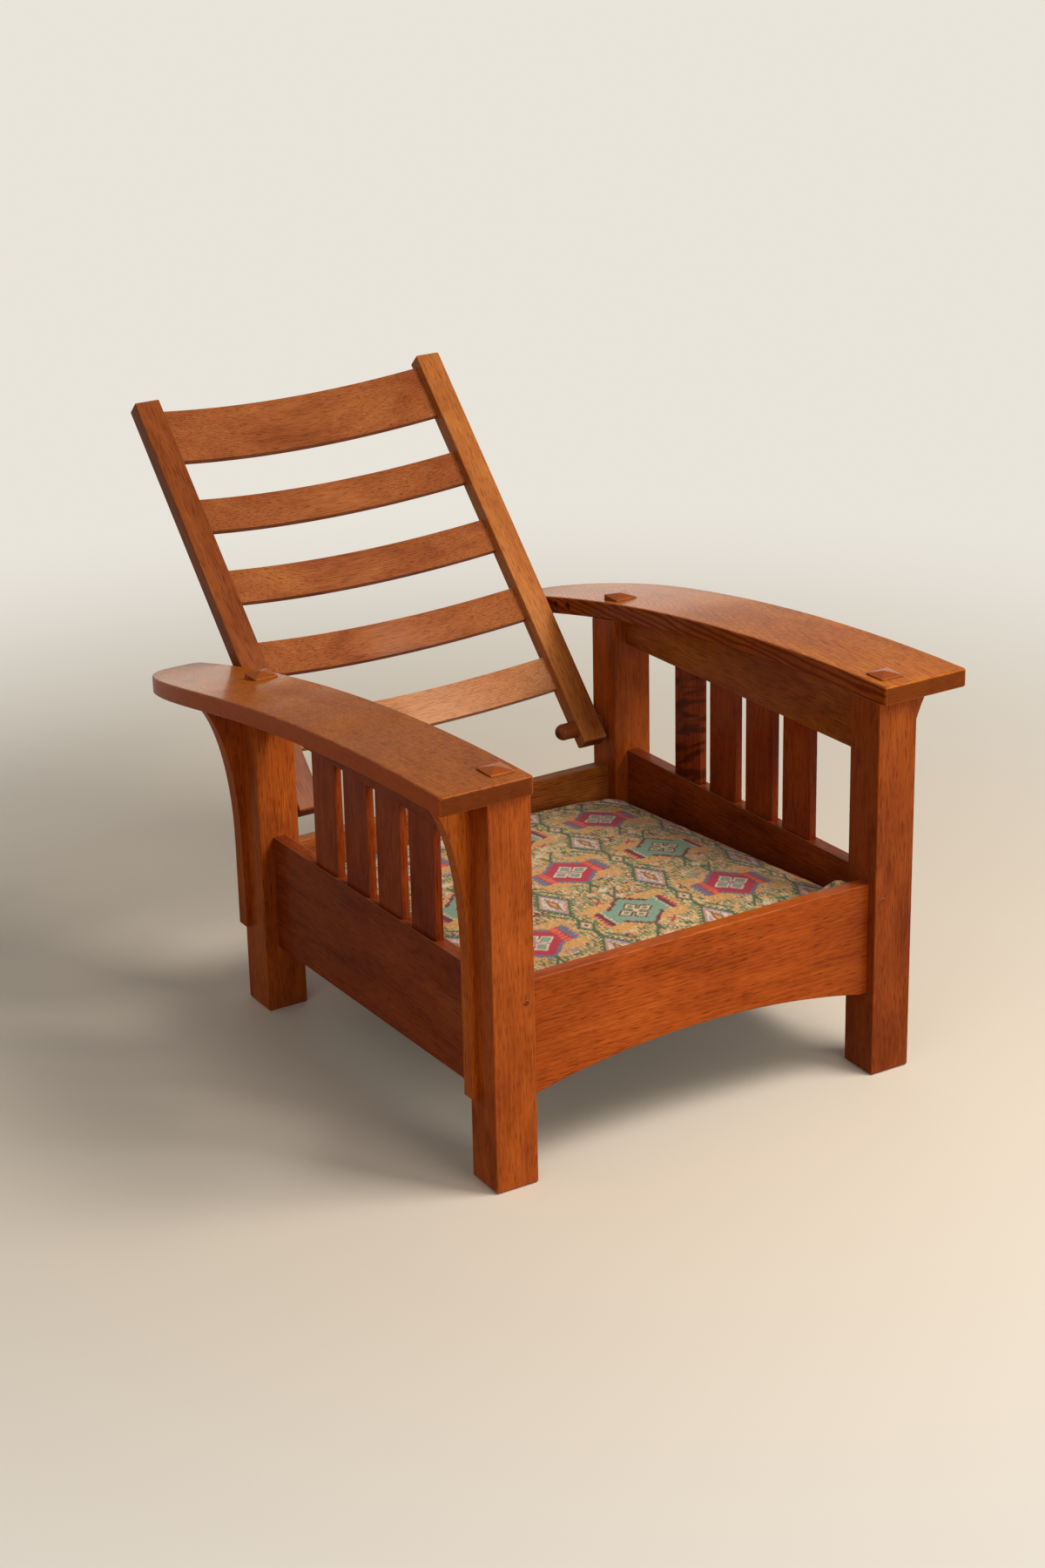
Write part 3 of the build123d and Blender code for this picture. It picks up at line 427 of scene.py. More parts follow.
# The kilim cloth's pattern. Lengths are in mm, and a colour's number is the limit that it goes up to.
kilim = {
    "origin": (-11.0, 137.0),       # a sage medallion's middle, from the deck's middle and front edge
    "across": (183.0, 10.0),        # step from one medallion to the next, the cloth being a little askew
    "along": (9.0, 202.0),
    "seed": 7, "patch": 512,        # the table of chances starts again after this many stitches
    "offsets": (137, 201), "shadeWalk": (3, 11),   # where else in that table a stitch or cell reads
    "stitchWidth": 2.2, "stitchLength": 4.6,
    "shade": (0.88, 0.22),          # least brightness of a stitch, and what chance adds
    "step": (3.0, 5.0),             # a medallion's outline moves in steps of a few stitches
    "body": (55.0, 55.0),           # half width and half height of a medallion's stepped diamond
    "wing": (14.0, 52.0, 30.0),     # a wing's start and end from the middle, and its half height
    "notch": (33.0, 4.0, 6.0),      # a wing's notch: its middle, half width and depth
    "tooth": 9.6,                   # spacing of the comb's teeth
    "spine": 8.0, "combEnd": 68.0, "innerTooth": 6.0,
    "edging": (0.96, 1.16), "edgingOverlap": 8.0, "edgingEnd": 56.0,
    "coral": (37.0, 0.18),          # where a red medallion's coral starts, and the gap between its stripes
    "lobeAway": 17.0, "sideLobe": (16.0, 15.0), "upperLobe": (14.0, 17.0),
    "sageLobe": (("brown", 0.22), ("sage", 0.44), ("cream", 0.70)), "wineShare": 0.75,
    "redLobe": (("lavender", 0.20), ("sage", 0.72)), "greenShare": 0.3,
    "centre": 9.0, "centreLine": (2.0, 2.2),
    "halo": (72.0, 55.0), "haloFrom": 0.92, "haloRise": 5.0,
    "busy": (0.16, 0.42),           # share of coloured stitches near a medallion, and what the ground adds
    "stitches": (("cream", 0.36), ("green", 0.70), ("darkGreen", 0.77), ("pink", 0.90)),
    "fret": (13.0, 14.0), "fretLine": 2.7,   # a fret's cell and the width of its line
    "fretFoot": 0.8, "fretReturn": 0.62, "fretHalo": 0.25,
    "frets": (("fretGreen", 0.40), ("darkGreen", 0.61), ("cream", 0.83), ("pink", 0.93)),
    "line": 2.6, "hookLean": 0.62,
    "medallionStem": (56.0, 88.0),  # from and to, along the cloth
    "medallionHook": (64.0, 66.0),  # where its slant meets the axis, and where it starts
    "diamondStem": (48.0, 2.8),     # from the diamond's middle, and its half width
    "diamondHook": (16.0, 62.0, 10.0, 1.1),   # from, to, out from the axis, and how far outside the diamond
    "flower": (9.0, 3.0, 2.0),      # half size, and half widths of its petals and of its slanting ones
    "strewn": (33.0, 60.0, 8.0, 2.4),         # a strewn cross: place, half size and half width of its arms
    "diamond": (25.0, 47.0), "diamondBands": (0.84, 1.02),
    "innerDiamond": (8.5, 31.0), "innerBands": (("gold", 0.45), ("brown", 1.0)), "lavenderShare": 0.40,
    "barb": 9.0, "barbHalf": 0.26, "barbReach": (1.42, 1.20),
    "smallDiamond": (16.0, 26.0), "smallBands": (("wine", 0.22), ("cream", 0.50), ("pink", 0.68)),
    "colours": {
        "gold": "#e4ac64", "cream": "#e6d3a8", "green": "#9aa67c", "fretGreen": "#7d9467",
        "darkGreen": "#47684a", "pink": "#d39c82", "sage": "#86ad98", "crimson": "#c22b48",
        "wine": "#6e2342", "coral": "#ec6d50", "blue": "#6f7696", "lavender": "#b79aa8",
        "white": "#e9dccb", "brown": "#a36a3c",
    },
}
code = {name: place for place, name in enumerate(kilim["colours"])}


def latticePlaces(across, along):
    # mm from the nearest medallion's middle (dx, dy) and from the nearest tall diamond's (ux, uy), which ends
    # where tall = |ux| / a + |uy| / b = 1. Every second medallion of the lattice is a sage one.
    stepX, stepY = kilim["across"], kilim["along"]
    area = stepX[0] * stepY[1] - stepX[1] * stepY[0]
    pitchX, pitchY = math.hypot(*stepX), math.hypot(*stepY)
    fromX, fromY = across - kilim["origin"][0], along - kilim["origin"][1]
    u = (fromX * stepY[1] - fromY * stepY[0]) / area
    v = (fromY * stepX[0] - fromX * stepX[1]) / area
    column, row = np.round(u), np.round(v)
    ux, uy = (u - np.floor(u) - 0.5) * pitchX, (v - np.floor(v) - 0.5) * pitchY
    tall = np.abs(ux) / kilim["diamond"][0] + np.abs(uy) / kilim["diamond"][1]
    return {"dx": (u - column) * pitchX, "dy": (v - row) * pitchY, "ux": ux, "uy": uy, "tall": tall,
            "halfRow": pitchY / 2, "isSage": (column + row) % 2 == 0}


def stitchChances(across, along):
    # each stitch, in rows set half a stitch apart, has two chances and a shade. Each fret's cell has two
    # more, and a place inside it in mm.
    patch = kilim["patch"]
    chance = np.random.default_rng(kilim["seed"]).random((patch, patch))
    cellX = np.floor(across / kilim["stitchWidth"]).astype(int) % patch
    cellY = np.floor(along / kilim["stitchLength"] + 0.5 * (cellX % 2)).astype(int) % patch
    fretX, fretY = kilim["fret"]
    row = np.floor(along / fretY).astype(int)
    placeX = across / fretX + 0.5 * (row % 2)
    column = np.floor(placeX).astype(int)
    offset, turnOffset = kilim["offsets"]
    walk, walkStart = kilim["shadeWalk"]
    least, added = kilim["shade"]
    return {"luck": chance[cellX, cellY], "luckTwo": chance[cellY, (cellX + offset) % patch],
            "shade": least + added * chance[(cellX * walk + walkStart) % patch, cellY],
            "cellLuck": chance[row % patch, column % patch],
            "turnLuck": chance[column % patch, (row + turnOffset) % patch],
            "inX": (placeX % 1) * fretX, "inY": ((along / fretY) % 1) * fretY}


def firstAbove(value, limits, rest):
    # the colour of the first limit above the value, or the rest
    return np.select([value < limit for name, limit in limits], [code[name] for name, limit in limits], rest)


def sageOrRed(spot, onSage, onRed):
    return np.where(spot["isSage"], code[onSage], code[onRed])


def kilimGround(spot, stitch):
    # gold with short stitches, and frets away from the medallions: in every cell of a small brick pattern an
    # open hook turned one of four ways. halo = 0 round a medallion's middle and 1 away from it.
    away = np.maximum(np.abs(spot["dx"]) / kilim["halo"][0], np.abs(spot["dy"]) / kilim["halo"][1])
    halo = np.clip((away - kilim["haloFrom"]) * kilim["haloRise"], 0.0, 1.0)
    busy = kilim["busy"][0] + kilim["busy"][1] * halo
    coloured = firstAbove(stitch["luckTwo"], kilim["stitches"], code["gold"])
    out = np.where(stitch["luck"] < busy, coloured, code["gold"])
    fretX, fretY = kilim["fret"]
    line, back = kilim["fretLine"], kilim["fretReturn"]
    x = np.where(stitch["turnLuck"] < 0.5, stitch["inX"], fretX - stitch["inX"])
    y = np.where((stitch["turnLuck"] * 4) % 2 < 1, stitch["inY"], fretY - stitch["inY"])
    foot = (y < line) & (x < kilim["fretFoot"] * fretX)
    turnedBack = (np.abs(x - back * fretX) < line / 2) & (y < back * fretY)
    hook = (x < line) | foot | turnedBack
    fret = firstAbove(stitch["cellLuck"], kilim["frets"], code["wine"])
    return np.where(hook & (halo > kilim["fretHalo"]), fret, out)


def kilimStems(spot, out):
    # a dark green line down every medallion's axis and every diamond's, with hooks that slant off them, then
    # a small white flower half way between a column's medallions, and strewn crosses
    dx, dy, ux, uy = [np.abs(spot[key]) for key in ("dx", "dy", "ux", "uy")]
    turn, diamondTurn = spot["dx"] * spot["dy"], spot["ux"] * spot["uy"]
    line, lean = kilim["line"], kilim["hookLean"]
    stemFrom, stemTo = kilim["medallionStem"]
    stem = (dx < line) & (dy > stemFrom) & (dy < stemTo)
    hookAxis, hookFrom = kilim["medallionHook"]
    hook = (np.abs(dx - lean * (dy - hookAxis)) < line) & (dy > hookFrom) & (turn > 0)
    diamondFrom, diamondHalf = kilim["diamondStem"]
    diamondStem = (ux < diamondHalf) & (uy > diamondFrom)
    lowEnd, highEnd, hookOut, outside = kilim["diamondHook"]
    diamondHook = (np.abs(ux - hookOut - lean * (highEnd - uy)) < line) & (uy < highEnd) & (uy > lowEnd) \
        & (diamondTurn > 0) & (spot["tall"] > outside)
    out = np.where(stem | diamondStem | hook | diamondHook, code["darkGreen"], out)
    size, petal, slant = kilim["flower"]
    fy = np.abs(dy - spot["halfRow"])
    flower = (dx + fy < size) & ((dx < petal) | (fy < petal) | (np.abs(dx - fy) < slant))
    out = np.where(flower, code["white"], out)
    crossX, crossY, crossSize, crossLine = kilim["strewn"]
    armX, armY = np.abs(dx - crossX), np.abs(dy - crossY)
    cross = (np.abs(armX - armY) < crossLine) & (armX < crossSize) & (turn < 0)
    return np.where(cross, sageOrRed(spot, "crimson", "lavender"), out)


def kilimMedallions(spot, out):
    # a stepped diamond |dx| / a + |dy| / b < 1 with a wing and a comb on each side, sage or red
    dx = np.abs(spot["dx"])
    stepX, stepY = kilim["step"]
    ax, ay = np.abs(np.round(spot["dx"] / stepX) * stepX), np.abs(np.round(spot["dy"] / stepY) * stepY)
    reach = ax / kilim["body"][0] + ay / kilim["body"][1]
    start, end, high = kilim["wing"]
    notchAt, notchHalf, notchDeep = kilim["notch"]
    notch = np.where(np.abs(ax - notchAt) < notchHalf, notchDeep, 0.0)
    wing = (ax >= start) & (ax < end) & (ay < high - notch)
    toothPhase = (spot["dy"] / kilim["tooth"]) % 1
    tooth = np.abs(toothPhase - 0.5) * 2
    outside, spine = dx - end, kilim["spine"]
    combSpine = (outside >= 0) & (outside < spine) & (ay < high)
    toothEnd = spine + (kilim["combEnd"] - end - spine) * tooth
    combTeeth = (outside >= spine) & (outside < toothEnd) & (ay < high)
    innerTeeth = (outside < 0) & (outside > -kilim["innerTooth"] * (1 - tooth)) & (ay < high)
    edgingFrom, edgingTo = kilim["edging"]
    edging = ~wing & (reach >= edgingFrom) & (reach < edgingTo) & (ay > high - kilim["edgingOverlap"]) \
        & (ay < kilim["edgingEnd"])
    coralFrom, coralGap = kilim["coral"]
    red = np.where((dx > coralFrom) & (toothPhase > coralGap), code["coral"], code["crimson"])
    out = np.where(edging, sageOrRed(spot, "wine", "blue"), out)
    out = np.where((reach < 1.0) | wing, np.where(spot["isSage"], code["sage"], red), out)
    out = np.where(innerTeeth, sageOrRed(spot, "cream", "crimson"), out)
    out = np.where(combSpine, sageOrRed(spot, "wine", "blue"), out)
    return np.where(combTeeth, sageOrRed(spot, "crimson", "blue"), out)


def kilimLobes(spot, luck, out):
    # a four-lobed figure inside each medallion, of squares set on their corners and outlined, and a small
    # cross in its middle
    dx, dy, away = np.abs(spot["dx"]), np.abs(spot["dy"]), kilim["lobeAway"]
    lobe = np.minimum(np.abs(dx - away) / kilim["sideLobe"][0] + dy / kilim["sideLobe"][1],
                      dx / kilim["upperLobe"][0] + np.abs(dy - away) / kilim["upperLobe"][1])
    sageRim = np.where(luck < kilim["wineShare"], code["wine"], code["brown"])
    sageLobe = firstAbove(lobe, kilim["sageLobe"], sageRim)
    redLobe = firstAbove(lobe, kilim["redLobe"], code["white"])
    redLobe = np.where((redLobe == code["sage"]) & (luck < kilim["greenShare"]), code["green"], redLobe)
    out = np.where(lobe < 1.0, np.where(spot["isSage"], sageLobe, redLobe), out)
    lineX, lineY = kilim["centreLine"]
    centre = (dx / kilim["centre"] + dy / kilim["centre"] < 1.0) & ((dx < lineX) | (dy < lineY))
    return np.where(centre, sageOrRed(spot, "cream", "lavender"), out)


def kilimDiamonds(spot, luck, out):
    # tall diamonds with a barbed green outline, a pink and lavender one, white stitches and a narrow golden
    # diamond inside; small diamonds stand between the medallions of a row
    ux, uy, tall = np.abs(spot["ux"]), np.abs(spot["uy"]), spot["tall"]
    narrow = ux / kilim["innerDiamond"][0] + uy / kilim["innerDiamond"][1]
    stitches = np.where(luck < kilim["lavenderShare"], code["lavender"], code["white"])
    inside = firstAbove(narrow, kilim["innerBands"], stitches)
    inner = np.where(spot["ux"] * spot["uy"] < 0, code["pink"], code["lavender"])
    innerFrom, outerFrom = kilim["diamondBands"]
    filled = np.where(tall > outerFrom, code["darkGreen"], np.where(tall > innerFrom, inner, inside))
    onBarb = np.abs((spot["uy"] / kilim["barb"]) % 1 - 0.5) < kilim["barbHalf"]
    out = np.where(tall < np.where(onBarb, *kilim["barbReach"]), filled, out)
    small = ux / kilim["smallDiamond"][0] + np.abs(spot["dy"]) / kilim["smallDiamond"][1]
    return np.where(small < 1.0, firstAbove(small, kilim["smallBands"], code["darkGreen"]), out)


def kilimColours(across, along):
    # the cloth's colour at (across, along) in mm, with every stitch a little lighter or darker than the next
    palette = np.array([srgb(hexColour)[:3] for hexColour in kilim["colours"].values()])
    spot, stitch = latticePlaces(across, along), stitchChances(across, along)
    out = kilimStems(spot, kilimGround(spot, stitch))
    out = kilimLobes(spot, stitch["luck"], kilimMedallions(spot, out))
    out = kilimDiamonds(spot, stitch["luck"], out)
    return palette[out] * stitch["shade"][..., None]


def gridFaces(index):
    return np.stack([index[:-1, :-1], index[1:, :-1], index[1:, 1:], index[:-1, 1:]], -1).reshape(-1, 4)


def deckSurface():
    # rings of a rounded rectangle, from the middle of the top outwards, over the edge, down and under:
    # top height = edge + (1 - (x / halfWidth)^4) * (edge crown + middle crown * (1 - (y / halfDepth)^2))
    halfX, halfY = deck["width"] / 2 - deck["sink"], deck["depth"] / 2 - deck["sink"]
    radius, high = deck["edgeRadius"], deck["edgeHeight"]
    flatX, flatY = halfX - radius, halfY - radius
    countX, countY = int(2 * flatX / deck["stitch"]), int(2 * flatY / deck["stitch"])
    gridX, gridY = np.meshgrid(np.linspace(-flatX, flatX, countX), np.linspace(-flatY, flatY, countY),
                               indexing="ij")
    index = np.arange(countX * countY).reshape(countX, countY)
    crownZ = (1 - (gridX / flatX) ** 4) * (deck["crown"][0] + deck["crown"][1] * (1 - (gridY / flatY) ** 2))
    cloth = np.stack([gridX.ravel(), gridY.ravel()], 1)
    points = np.stack([gridX.ravel(), gridY.ravel(), high + crownZ.ravel()], 1)
    loop = np.concatenate([index[:, 0], index[-1, 1:], index[-2::-1, -1], index[0, -2:0:-1]])
    rim = cloth[loop]
    rimTop = points[loop, 2]
    outward = np.stack([np.where(np.abs(rim[:, n]) > flat - deck["nearEdge"], np.sign(rim[:, n]), 0)
                        for n, flat in enumerate((flatX, flatY))], 1)
    turns = np.linspace(0, math.pi / 2, deck["roundRings"])[1:]
    sideDown = np.linspace(0, high - radius - deck["sideEnd"], deck["sideRings"])[1:]
    profile = [(radius * math.sin(t), radius * (1 - math.cos(t))) for t in turns]
    profile += [(radius, radius + down) for down in sideDown]
    profile += [(radius - inward, high - up) for inward, up in deck["lowerEdge"]]
    profile += [(radius - turned, high) for turned in np.linspace(*deck["foldedUnder"], deck["underRings"])]
    rings, cloths = [], []
    length, last = 0.0, (0.0, 0.0)
    for out, down in profile:
        length += math.hypot(out - last[0], down - last[1])
        last = (out, down)
        rings.append(np.column_stack([rim + outward * out, rimTop * (1 - down / high)]))
        cloths.append(rim + outward * length)
    faces = [gridFaces(index)]
    previous = loop
    for n in range(len(profile)):
        current = countX * countY + n * len(loop) + np.arange(len(loop))
        faces.append(np.stack([previous, current, np.roll(current, -1), np.roll(previous, -1)], 1))
        previous = current
    return np.concatenate([points] + rings), np.concatenate([cloth] + cloths), np.concatenate(faces), previous


def tackPulls(place, fromEdge, waves):
    # sin(s / short + sway * sin(s / long)), dying away from the tacked edge
    short, sway, long = waves
    return np.sin(place / short + sway * np.sin(place / long)) * \
        np.exp(-np.clip(fromEdge, 0, None) / deck["pullReach"])


def shapeDeck(points, cloth):
    # waist: x and y drawn in by waist * (1 - (s / half)^2) on the sides. Folded cloth lifts the front
    # corners, and faint pulls run in from the tacked edges.
    halfX, halfY = deck["width"] / 2, deck["depth"] / 2
    x, y, z = points.T.copy()
    outer = np.maximum(np.abs(x) / halfX, np.abs(y) / halfY)
    onSide = np.clip((outer - (1 - deck["sideBand"])) / deck["sideBand"], 0, 1)
    drawn = deck["waist"] * onSide
    x = x - np.sign(x) * drawn * (1 - (y / halfY) ** 2) * (np.abs(x) > deck["sideFrom"] * halfX)
    y = y - np.sign(y) * drawn * (1 - (x / halfX) ** 2) * (np.abs(y) > deck["sideFrom"] * halfY)
    for end, radius in zip((-1, 1), deck["cornerRadius"]):
        # square to round corner: (a, b) * max(a, b) / hypot(a, b), both measured from the corner's centre
        a = np.clip(np.abs(x) - (halfX - radius), 0, None)
        b = np.clip(y * end - (halfY - radius), 0, None)
        pulled = np.where((a > 0) & (b > 0), np.maximum(a, b) / np.maximum(np.hypot(a, b), 1e-6), 1.0)
        x = np.sign(x) * (np.abs(x) - a * (1 - pulled))
        y = end * (y * end - b * (1 - pulled))
    upper = np.clip(z / deck["edgeHeight"], 0, 1) ** 2
    inX, inY = deck["cornerLiftIn"]
    for side, lift in zip((1, -1), deck["cornerLift"]):
        away = np.hypot(x - side * (halfX - inX), (y + halfY - inY) * deck["cornerLiftRatio"])
        z = z + lift * np.exp(-(away / deck["cornerLiftSize"]) ** 2) * upper
    pull = tackPulls(cloth[:, 1], halfX - np.abs(cloth[:, 0]), deck["sidePulls"])
    pull = pull + tackPulls(cloth[:, 0], halfY - np.abs(cloth[:, 1]), deck["endPulls"])
    z = z + deck["pullHeight"] * pull * upper
    return np.stack([x, y, z], 1)


# Woven cotton and wool: matt, with a soft sheen and a rib for every pick of the weave. Sizes are in mm.
woven = {
    "fuzz": 1.3, "fuzzRange": (0.3, 0.7), "tint": (0.86, 1.12), "rib": 1.1, "ribWander": 1.5,
    "bumpStrength": 0.5, "bumpDepth": 0.4, "roughness": 0.92, "sheen": 0.15, "sheenRoughness": 0.5,
}


def wovenCloth(name):
    material, tree = newMaterial(name)
    place = addNode(tree, "ShaderNodeTexCoord").outputs["Object"]
    colour = addNode(tree, "ShaderNodeAttribute", attribute_name="kilimColour").outputs["Color"]
    fuzz = addNode(tree, "ShaderNodeTexNoise", {"Vector": place}, Scale=1 / (woven["fuzz"] * mm),
                   Detail=2.0).outputs["Fac"]
    tint = addNode(tree, "ShaderNodeMapRange", {"Value": fuzz}, **fromRange(woven["fuzzRange"]),
                   **toRange(woven["tint"])).outputs["Result"]
    tinted = addNode(tree, "ShaderNodeVectorMath", {0: colour, "Scale": tint},
                     operation="SCALE").outputs["Vector"]
    ribs, threads = [addNode(tree, "ShaderNodeTexWave", {"Vector": place}, bands_direction=direction,
                             Scale=waveScale(woven["rib"]), Distortion=woven["ribWander"]).outputs["Fac"]
                     for direction in "YX"]
    weave = addNode(tree, "ShaderNodeMath", {0: ribs, 1: threads}, operation="MULTIPLY").outputs[0]
    height = addNode(tree, "ShaderNodeMath", {0: weave, 1: fuzz}, operation="ADD").outputs[0]
    bump = addNode(tree, "ShaderNodeBump", {"Height": height}, Strength=woven["bumpStrength"],
                   Distance=woven["bumpDepth"] * mm).outputs["Normal"]
    surface = addNode(tree, "ShaderNodeBsdfPrincipled", {"Base Color": tinted, "Normal": bump},
                      Roughness=woven["roughness"], Sheen_Weight=woven["sheen"],
                      Sheen_Roughness=woven["sheenRoughness"])
    addNode(tree, "ShaderNodeOutputMaterial", {"Surface": surface.outputs[0]})
    return material


def located(points, place):
    # points in mm, carried to their place in metres
    return (points * mm @ np.array(place.to_3x3()).T + np.array(place.translation)).tolist()


def buildDeck():
    points, cloth, faces, lastLoop = deckSurface()
    halfDepth = deck["depth"] / 2
    colours = kilimColours(cloth[:, 0], cloth[:, 1] + halfDepth)
    colours = np.concatenate([colours, colours[-1:]])
    underMiddle = len(points)
    shaped = np.concatenate([shapeDeck(points, cloth), [[0.0, 0.0, 0.0]]])
    fan = [(int(one), underMiddle, int(two)) for one, two in zip(lastLoop, np.roll(lastLoop, -1))]
    place = deckPlace @ Matrix.Translation((0, halfDepth * mm, 0))
    piece = newPiece("seatDeck", located(shaped, place), faces.tolist() + fan)
    attribute = piece.data.color_attributes.new("kilimColour", "FLOAT_COLOR", "POINT")
    attribute.data.foreach_set("color", np.column_stack([colours, np.ones(len(colours))]).ravel())
    piece.data.shade_smooth()
    setMaterial(piece, wovenCloth("kilimCloth"))
    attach(piece, "frame")
    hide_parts("seat_cover", "seat_padding")
    print("seat deck:", len(piece.data.polygons), "faces")


# The dust cover: thin black cambric tacked over the deck's underside, its edges folded once. In mm.
cover = {
    "width": 552.0, "length": 628.0, "front": 28.0, "thickness": 0.7,
    "hem": 10.0, "hemThickness": 0.6, "hemEase": 2.0,
    "gap": 0.1,                   # between the cloth and the boards
    "sag": 2.5, "margin": 45.0,   # how far it hangs in the middle, and its edge that lies on the boards
    "tacks": 44.0, "scallop": 1.1, "scallopReach": 20.0, "pucker": 0.1, "puckerReach": 14.0,
    "grid": 4.0,
}


def buildDustCover():
    # sag * (1 - (x / a)^2) * (1 - (y / b)^2) inside the boards, a thicker hem round it, and an edge that
    # draws in by scallop * (1 - cos(2 pi s / tacks)) / 2 between its tacks
    halfX, halfY = cover["width"] / 2, cover["length"] / 2
    countX, countY = int(cover["width"] / cover["grid"]), int(cover["length"] / cover["grid"])
    x, y = np.meshgrid(np.linspace(-halfX, halfX, countX), np.linspace(-halfY, halfY, countY), indexing="ij")
    fromX, fromY = halfX - np.abs(x), halfY - np.abs(y)
    fold = np.clip((cover["hem"] - np.minimum(fromX, fromY)) / cover["hemEase"] + 0.5, 0, 1)
    unheld = np.clip(1 - (x / (halfX - cover["margin"])) ** 2, 0, 1) \
        * np.clip(1 - (y / (halfY - cover["margin"])) ** 2, 0, 1)
    alongX, alongY = np.cos(math.tau * x / cover["tacks"]), np.cos(math.tau * y / cover["tacks"])
    puckerX = cover["pucker"] * (1 - np.exp(-fromX / cover["puckerReach"]) * alongY)
    puckerY = cover["pucker"] * (1 - np.exp(-fromY / cover["puckerReach"]) * alongX)
    drawn = cover["scallop"] / 2
    outX = x - np.sign(x) * drawn * (1 - alongY) * np.exp(-fromX / cover["scallopReach"])
    outY = y - np.sign(y) * drawn * (1 - alongX) * np.exp(-fromY / cover["scallopReach"])
    upper = -cover["gap"] - cover["sag"] * unheld - puckerX - puckerY
    lower = upper - cover["thickness"] - cover["hemThickness"] * fold
    count = countX * countY
    index = np.arange(count).reshape(countX, countY)
    top = gridFaces(index)
    loop = np.concatenate([index[:-1, 0], index[-1, :-1], index[:0:-1, -1], index[0, :0:-1]])
    rim = np.stack([loop, loop + count, np.roll(loop, -1) + count, np.roll(loop, -1)], 1)
    points = np.concatenate([np.stack([outX.ravel(), outY.ravel(), z.ravel()], 1) for z in (upper, lower)])
    place = deckPlace @ Matrix.Translation((0, (cover["front"] + halfY) * mm, 0))
    faces = np.concatenate([top, top[:, ::-1] + count, rim]).tolist()
    piece = newPiece("dustCover", located(points, place), faces)
    piece.data.shade_smooth()
    setMaterial(piece, plainFinish("blackCambric"))
    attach(piece, "frame")
    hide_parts("seat_dust_cover")
    print("dust cover:", len(piece.data.polygons), "faces")


# Floor, light and camera
studio = {
    "floorColour": "#e9e4da", "floorRoughness": 0.85,
    "bounceColour": "#b18f63",            # what the chair sees of the floor, a warm wooden one
    "floorSize": 60.0,
    "fadeFrom": 0.8, "fadeTo": 2.7,       # metres from the chair over which the floor turns into backdrop
    "worldColour": "#f6efe4", "worldStrength": 0.21,
    "lamps": [   # name, place, aim, width, height, watts, colour
        ("keyLamp", (1.7, -2.1, 3.4), (0.0, -0.1, 0.4), 1.7, 1.7, 122.0, "#fff1e0"),
        ("frontLamp", (0.5, -4.1, 1.5), (0.0, -0.3, 0.4), 1.5, 1.0, 44.0, "#fff3e4"),
        ("fillLamp", (-3.4, -2.4, 2.4), (0.0, 0.0, 0.4), 2.4, 2.4, 17.0, "#fff0e0"),
        ("rearLamp", (2.2, 4.2, 0.52), (0.0, 0.5, 0.5), 4.2, 0.85, 30.0, "#f5efe2"),
    ],
}


def seenDirectly(tree):
    # 1 for the camera's rays and those that mirror or pass on what is seen, 0 for light that falls on things
    path = addNode(tree, "ShaderNodeLightPath").outputs
    either = addNode(tree, "ShaderNodeMath", {0: path["Is Camera Ray"], 1: path["Is Glossy Ray"]},
                     operation="MAXIMUM").outputs[0]
    return addNode(tree, "ShaderNodeMath", {0: either, 1: path["Is Transmission Ray"]},
                   operation="MAXIMUM").outputs[0]


def buildFloor():
    # the floor keeps its shadow near the chair and turns into an even pale backdrop further out, for the
    # camera and in mirrors alone: mix = smooth step of the distance from the chair
    half = studio["floorSize"] / 2
    floor = newPiece("studioFloor", [(-half, -half, 0), (half, -half, 0), (half, half, 0), (-half, half, 0)],
                     [(0, 1, 2, 3)])
    material, tree = newMaterial("paleFloor")
    place = addNode(tree, "ShaderNodeTexCoord").outputs["Object"]
    away = addNode(tree, "ShaderNodeVectorMath", {0: place}, operation="LENGTH").outputs["Value"]
    fade = addNode(tree, "ShaderNodeMapRange", {"Value": away}, interpolation_type="SMOOTHSTEP",
                   From_Min=studio["fadeFrom"], From_Max=studio["fadeTo"]).outputs["Result"]
    seen = seenDirectly(tree)
    share = addNode(tree, "ShaderNodeMath", {0: fade, 1: seen}, operation="MULTIPLY")
    bounce, pale = srgb(studio["bounceColour"]), srgb(studio["floorColour"])
    tint = addNode(tree, "ShaderNodeMix", {0: seen, 6: bounce, 7: pale}, data_type="RGBA")
    lit = addNode(tree, "ShaderNodeBsdfPrincipled", {"Base Color": tint.outputs[2]},
                  Roughness=studio["floorRoughness"])
    even = addNode(tree, "ShaderNodeEmission", Color=pale, Strength=1.0)
    surface = addNode(tree, "ShaderNodeMixShader",
                      {0: share.outputs[0], 1: lit.outputs[0], 2: even.outputs[0]})
    # seen from below, the floor is clear, so that the chair's underside shows
    facing = addNode(tree, "ShaderNodeNewGeometry").outputs["Backfacing"]
    clear = addNode(tree, "ShaderNodeBsdfTransparent").outputs[0]
    oneSided = addNode(tree, "ShaderNodeMixShader", {0: facing, 1: surface.outputs[0], 2: clear})
    addNode(tree, "ShaderNodeOutputMaterial", {"Surface": oneSided.outputs[0]})
    setMaterial(floor, material)


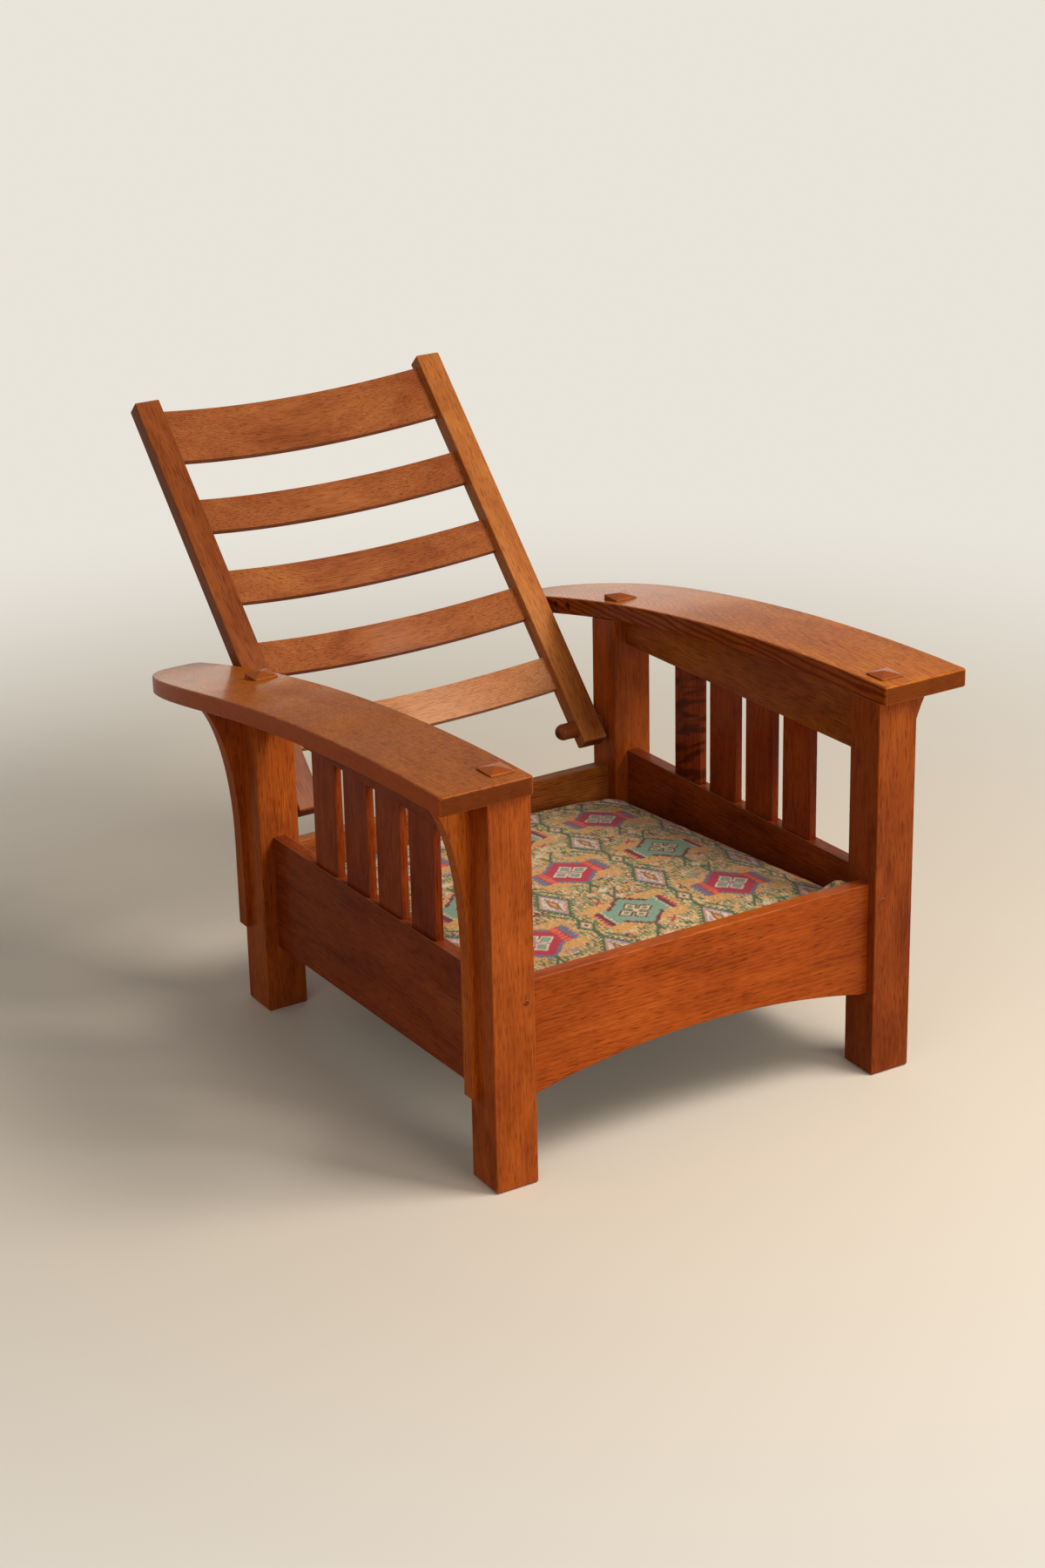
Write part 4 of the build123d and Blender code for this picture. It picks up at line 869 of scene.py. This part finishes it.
def buildLight():
    world = bpy.data.worlds.new("studioWorld")
    bpy.context.scene.world = world
    world.use_nodes = True
    tree = world.node_tree
    tree.nodes.clear()
    light = addNode(tree, "ShaderNodeBackground", Color=srgb(studio["worldColour"]),
                    Strength=studio["worldStrength"])
    backdrop = addNode(tree, "ShaderNodeBackground", Color=srgb(studio["floorColour"]), Strength=1.0)
    mix = addNode(tree, "ShaderNodeMixShader",
                  {0: seenDirectly(tree), 1: light.outputs[0], 2: backdrop.outputs[0]})
    addNode(tree, "ShaderNodeOutputWorld", {"Surface": mix.outputs[0]})
    for name, place, aim, width, height, watts, colour in studio["lamps"]:
        lamp = bpy.data.lights.new(name, "AREA")
        lamp.shape = "RECTANGLE"
        lamp.size, lamp.size_y = width, height
        lamp.energy = watts
        lamp.color = srgb(colour)[:3]
        holder = bpy.data.objects.new(name, lamp)
        holder.location = place
        holder.rotation_euler = (Vector(aim) - Vector(place)).to_track_quat("-Z", "Y").to_euler()
        holder.visible_camera = False
        bpy.context.scene.collection.objects.link(holder)


view = {   # the photograph's viewpoint, worked out from the chair's straight edges
    "place": (-2.3964, -3.4682, 2.2686),     # metres, y from the front legs' front face
    "yaw": 0.5403, "pitch": 0.3849, "roll": -0.0219,
    "focal": 3623.5, "imageHeight": 1800,    # pixels
    "sensor": 36.0,
}


def buildCamera():
    # forward = (sin yaw cos pitch, cos yaw cos pitch, -sin pitch); the roll turns right and up about it
    yaw, pitch, roll = view["yaw"], view["pitch"], view["roll"]
    forward = Vector((math.sin(yaw) * math.cos(pitch), math.cos(yaw) * math.cos(pitch), -math.sin(pitch)))
    level = Vector((math.cos(yaw), -math.sin(yaw), 0.0))
    over = level.cross(forward)
    right = math.cos(roll) * level + math.sin(roll) * over
    up = math.cos(roll) * over - math.sin(roll) * level
    camera = bpy.data.objects.new("photoCamera", bpy.data.cameras.new("photoCamera"))
    camera.data.sensor_fit = "VERTICAL"
    camera.data.sensor_height = view["sensor"]
    camera.data.lens = view["focal"] / view["imageHeight"] * view["sensor"]
    turn = Matrix((right, up, -forward)).transposed().to_4x4()
    x, y, z = view["place"]
    camera.matrix_world = Matrix.Translation((x, legFront + y, z)) @ turn
    bpy.context.scene.collection.objects.link(camera)
    bpy.context.scene.camera = camera


buildDeck()
buildDustCover()
buildFloor()
buildLight()
buildCamera()
bpy.context.scene.view_settings.view_transform = "Standard"
print("studio and camera set")
